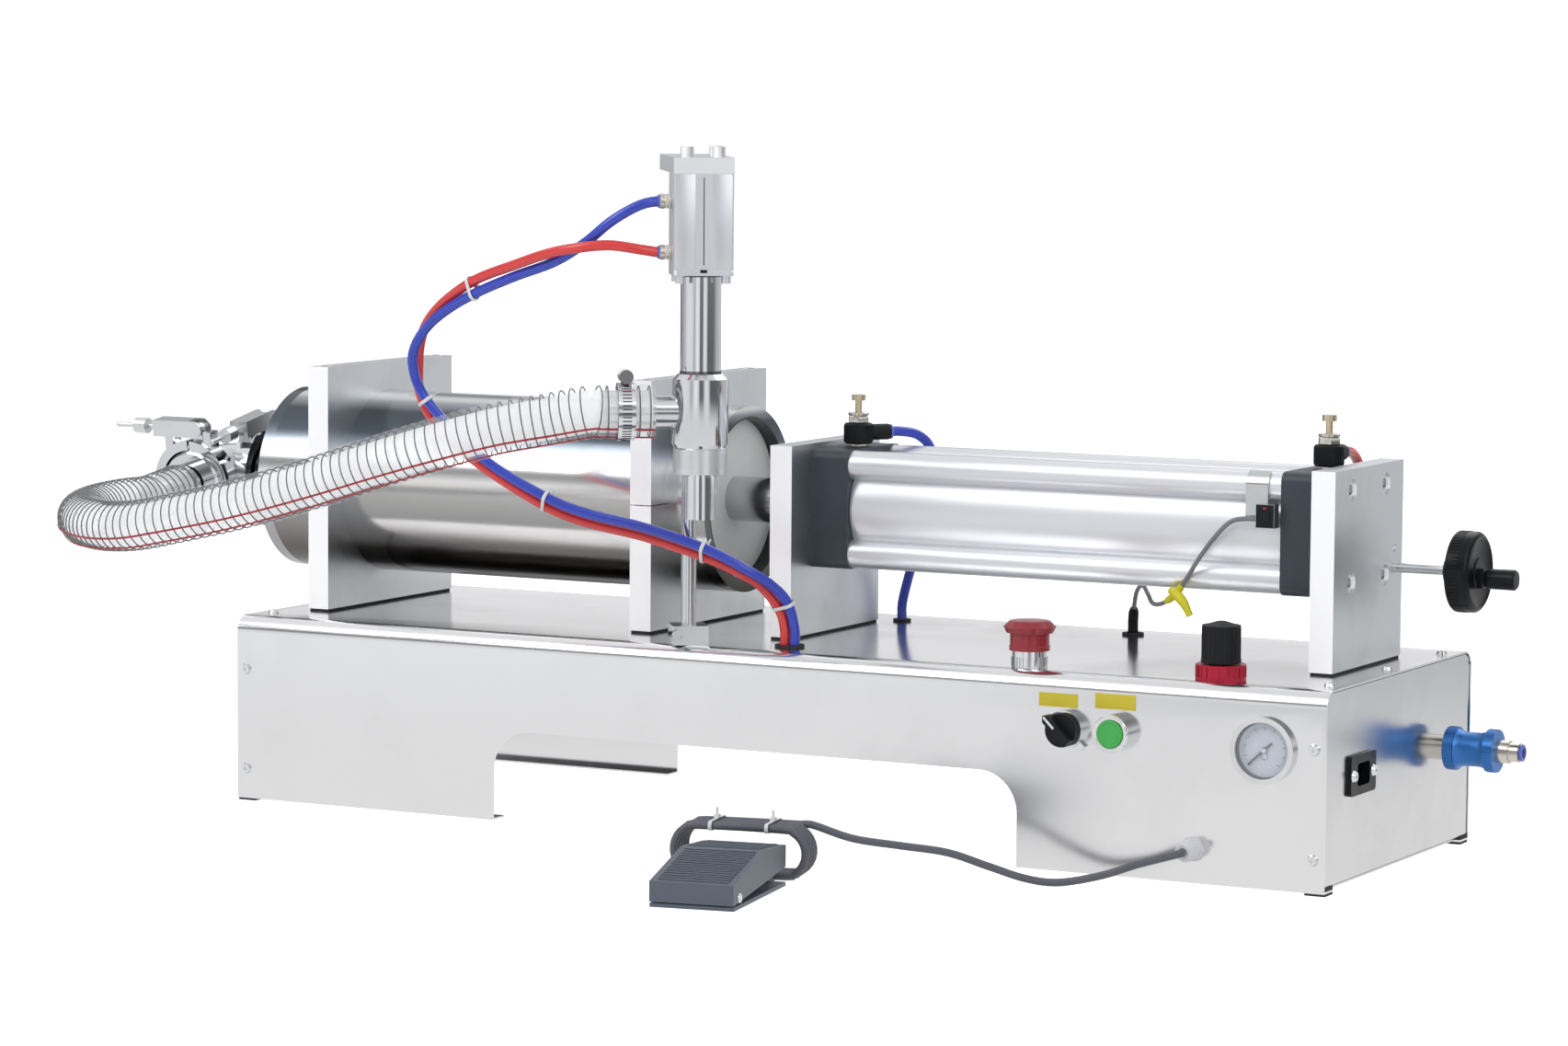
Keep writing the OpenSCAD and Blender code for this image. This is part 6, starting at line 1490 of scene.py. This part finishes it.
@dataclass
class Nozzle:
    """Fine detail of the nozzle, its air cylinder and the hose band."""

    cylinder_z: float = 441.0
    ring_nut_z: float = 299.5
    band_x: float = -57.0

    @staticmethod
    def frame(z: float) -> Matrix:
        """Gives the frame on the nozzle's axis at a height."""
        spot = place(*on_stand(0.0, -ARM_REACH, z))
        return Matrix.Translation(spot) @ Matrix.Rotation(math.radians(SWING), 4, "Z") @ Matrix.Scale(MM, 4)

    def build(self) -> None:
        """Builds the grooves, the bottom plate and the band's slots."""
        base = self.frame(self.cylinder_z)
        plate = Shape().block((-22.6, -22.6, 0.4), (22.6, 22.6, 4.4), base)
        plate.finish("lift_bottom_plate", Look.PLATE, bevel=0.6)
        dark = Shape().block((-2.6, -23.3, 2.2), (2.6, -22.0, 4.6), base)
        dark.block((-0.35, -23.12, 8.0), (0.35, -22.6, 74.0), base)
        dark.block((22.6, -0.35, 8.0), (23.12, 0.35, 74.0), base)
        dark.finish("lift_grooves", Look.MATT_BLACK)
        pads = Shape()
        for x in (-14.0, 14.0):
            pads.block((x - 7.6, -23.25, 5.0), (x + 7.6, -22.7, 76.6), base)
        pads.finish("lift_face_pads", Look.CYLINDER, bevel=0.25)
        joints = Shape()
        for z, r in ((366.3, 15.9), (440.2, 15.9), (367.6, 15.7)):
            joints.lathe(ring(z - 0.5, z + 0.5, 14.0, r), self.frame(0.0), 64)
        joints.finish("neck_joint_rings", Look.RUBBER)
        knurl("ring_nut_ridges", Look.SATIN_RING, "machine", self.frame(self.ring_nut_z), 0.0, 20.4, 11.0,
              60, 0.25)
        Repeats.run(Repeats.blocks_around, "band_slots", Look.INK, "machine",
                    along_arm(self.band_x, OUTLET_Z),
                    Count=46, Radius=22.15, Start=0.0, Step=2 * math.pi / 46, Size=(0.25, 0.9, 7.0))


@dataclass
class Pedal:
    """The ribbed foot pedal."""

    wide: float = 64.0
    long: float = 122.0
    front: float = 19.04
    top: float = 34.0
    ridge: float = 70.76
    back: float = 30.6

    def build(self) -> None:
        """Builds the ribs of both slopes and the side screw."""
        facing = Matrix.Rotation(math.radians(PEDAL_TURN), 4, "Z") @ Matrix.Scale(MM, 4)
        base = Matrix.Translation(place(*PEDAL_AT)) @ facing
        rest = self.long - self.ridge
        slopes = ((0.0, self.ridge, self.front, self.top, 5.0, self.ridge - 4.0, 15),
                  (self.ridge, rest, self.top, self.back, 3.0, rest - 5.0, 13))
        for k, (start, run, z0, z1, first, length, count) in enumerate(slopes):
            tilt = math.atan2(z1 - z0, run)
            slope = off(base, self.wide / 2, start, z0) @ Matrix.Rotation(tilt, 4, "X")
            step = (length - first) / (count - 1)
            Repeats.run(Repeats.blocks_in_a_row, f"tread_ribs_{k}", Look.PEDAL, "pedal_top",
                        off(slope, 0, first, 0.1),
                        Count=count, Offset=(0.0, step, 0.0), Size=(self.wide - 10.0, step * 0.45, 1.3))
        side = off(base, self.wide, 14.0, 8.0) @ Matrix.Rotation(math.pi / 2, 4, "Y")
        turn("pedal_pin_head", Look.SCREW, side, [(0.0, 0), (0.0, 3.6), (0.9, 3.2), (1.3, 2.0), (1.3, 0)],
             32)


# The studio


FLOOR_REACH = 14.0
SECTOR_SEAM: Point = (0.3, 0.31, 0.33)
SECTORS: tuple[tuple[float, float], ...] = (
    (-150, 0.12), (-128, 0.5), (-100, 0.6), (-80, 0.95), (-60, 0.98), (-46, 0.9), (-34, 0.5), (-22, 1.1),
    (-9, 1.05), (-2, 0.16), (11, 0.16), (19, 1.0), (31, 0.95), (41, 0.12), (78, 0.16), (98, 0.5),
    (112, 0.62),
    (132, 0.58), (146, 1.0), (158, 0.15))
ROOM_HEIGHTS: tuple[tuple[float, float], ...] = (
    (0.0, 0.55), (0.47, 0.62), (0.5, 0.86), (0.56, 0.94), (0.63, 0.30), (0.70, 0.22), (0.78, 0.85),
    (0.9, 1.0), (1.0, 0.8))
LAMPS: tuple[tuple[str, Point, float, float], ...] = (
    ("key_lamp", (-1.6, -2.4, 2.6), 2.2, 42.0), ("fill_lamp", (2.6, -1.6, 1.8), 2.0, 20.0),
    ("back_lamp", (0.4, 2.6, 2.4), 2.4, 24.0))


@dataclass
class Studio:
    """Camera, floor, lamps and world."""

    eye: Point = (2309.9, -3433.6, 617.9)
    yaw: float = -27.763
    pitch: float = 5.414
    roll: float = 0.418
    lens: float = 116.757

    def camera(self) -> None:
        """Sets the camera at the photograph's angle."""
        yaw, pitch, roll = (math.radians(a) for a in (self.yaw, self.pitch, self.roll))
        ahead = Vector((math.sin(yaw) * math.cos(pitch), math.cos(yaw) * math.cos(pitch), -math.sin(pitch)))
        right = Vector((math.cos(yaw), -math.sin(yaw), 0.0))
        up = right.cross(ahead)
        across = math.cos(roll) * right + math.sin(roll) * up
        above = math.cos(roll) * up - math.sin(roll) * right
        made = bpy.data.cameras.new("camera")
        made.lens = self.lens
        made.sensor_width = 36.0
        made.clip_end = 60.0
        camera = placed("camera", made)
        facing = Matrix((across, above, -ahead)).transposed().to_4x4()
        camera.matrix_world = Matrix.Translation(place(*self.eye)) @ facing
        bpy.context.scene.camera = camera

    def floor(self) -> None:
        """Lays the pale floor, which looks white to the camera outside the shadow."""
        mesh = bpy.data.meshes.new("floor")
        corners = [(x * FLOOR_REACH, y * FLOOR_REACH, 0.0) for x, y in ((-1, -1), (1, -1), (1, 1), (-1, 1))]
        mesh.from_pydata(corners, [], [(0, 1, 2, 3)])
        placed("floor", mesh)
        paint = bpy.data.materials.new("pale_floor")
        paint.use_nodes = True
        graph = Graph(paint.node_tree)
        rays = graph.node("LightPath").outputs
        glossy, seen = rays["Is Glossy Ray"], graph.math("MULTIPLY", rays["Is Camera Ray"], 0.8)
        graph.feed(graph.tree.nodes["Principled BSDF"], {
            "Roughness": 0.9, "Specular IOR Level": 0.0,
            "Base Color": graph.mix(glossy, (0.86, 0.86, 0.86), (0.02, 0.02, 0.02)),
            "Emission Color": graph.mix(glossy, (1.0, 1.0, 1.0), self.room_bands(graph)),
            "Emission Strength": graph.math("MAXIMUM", seen, glossy)})
        mesh.materials.append(paint)

    @staticmethod
    def room_bands(graph: Graph) -> bpy.types.Node:
        """Gives the far floor light and dark sectors, which upright polished steel shows as stripes.

        Args:
            graph: The floor's tree.

        Returns:
            The brightness as a colour.
        """
        where = graph.node("TexCoord").outputs["Object"]
        split = graph.node("SeparateXYZ", {0: where}).outputs
        angle = graph.math("ARCTAN2", split["Y"], split["X"])
        share = graph.math("FRACT", graph.math("MULTIPLY_ADD", angle, 1 / (2 * math.pi), 61 / 360 + 0.5))
        sectors = [(angle / 360 + 0.5, (tone, tone * 1.01, tone * 1.03)) for angle, tone in SECTORS]
        ramp = graph.ramp(share, [(0.0, SECTOR_SEAM), *sectors, (1.0, SECTOR_SEAM)])
        far = graph.node("VectorMath", {0: where}, operation="LENGTH")
        near = graph.node("MapRange", {"Value": far, "From Min": 0.9, "From Max": 1.7})
        return graph.mix(near, (0.92, 0.92, 0.92), ramp)

    def world(self) -> None:
        """Lights the room evenly, white to the camera and with soft dark bands to polished metal."""
        world = bpy.data.worlds.new("studio")
        bpy.context.scene.world = world
        world.use_nodes = True
        world.node_tree.nodes.clear()
        graph = Graph(world.node_tree)
        height = graph.node("SeparateXYZ", {0: graph.node("TexCoord").outputs["Generated"]}).outputs["Z"]
        stops = [(spot, (tone, tone, tone * (1.01 if 0 < spot < 1 else 1))) for spot, tone in ROOM_HEIGHTS]
        ramp = graph.ramp(graph.math("MULTIPLY_ADD", height, 0.5, 0.5), stops)
        room = graph.node("Background", {"Color": (0.94, 0.96, 1.0, 1.0), "Strength": 0.5})
        white = graph.node("Background", {"Color": (1.0, 1.0, 1.0, 1.0)})
        rays = graph.node("LightPath").outputs
        clear = graph.math("MAXIMUM", rays["Is Camera Ray"], rays["Is Transmission Ray"])
        bands = graph.node("Background", {"Color": ramp})
        lit = graph.node("MixShader", {"Fac": rays["Is Glossy Ray"], 1: room, 2: bands})
        graph.node("OutputWorld", {"Surface": graph.node("MixShader", {"Fac": clear, 1: lit, 2: white})})

    def lamps(self) -> None:
        """Hangs the soft lamps."""
        for name, spot, size, power in LAMPS:
            light = bpy.data.lights.new(name, "AREA")
            light.size = size
            light.energy = power
            lamp = placed(name, light)
            lamp.location = spot
            lamp.rotation_euler = (Vector((0, 0, 0.2)) - Vector(spot)).to_track_quat("-Z", "Y").to_euler()

    def build(self) -> None:
        """Builds the studio."""
        self.camera()
        self.floor()
        self.world()
        self.lamps()
        bpy.context.scene.view_settings.view_transform = "Standard"


def main() -> None:
    """Loads the frame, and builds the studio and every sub-assembly."""
    logging.basicConfig(level=logging.INFO, format="%(name)s: %(message)s")
    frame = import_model()
    Studio().build()
    Lines().build()
    Solids().build(frame["nodes"])
    for part in (AirCylinder(), DoseDrive(), Controls(), RightEnd(), Nozzle(), Pedal()):
        LOG.info("building %s", type(part).__name__)
        part.build()


if __name__ == "__main__":
    main()
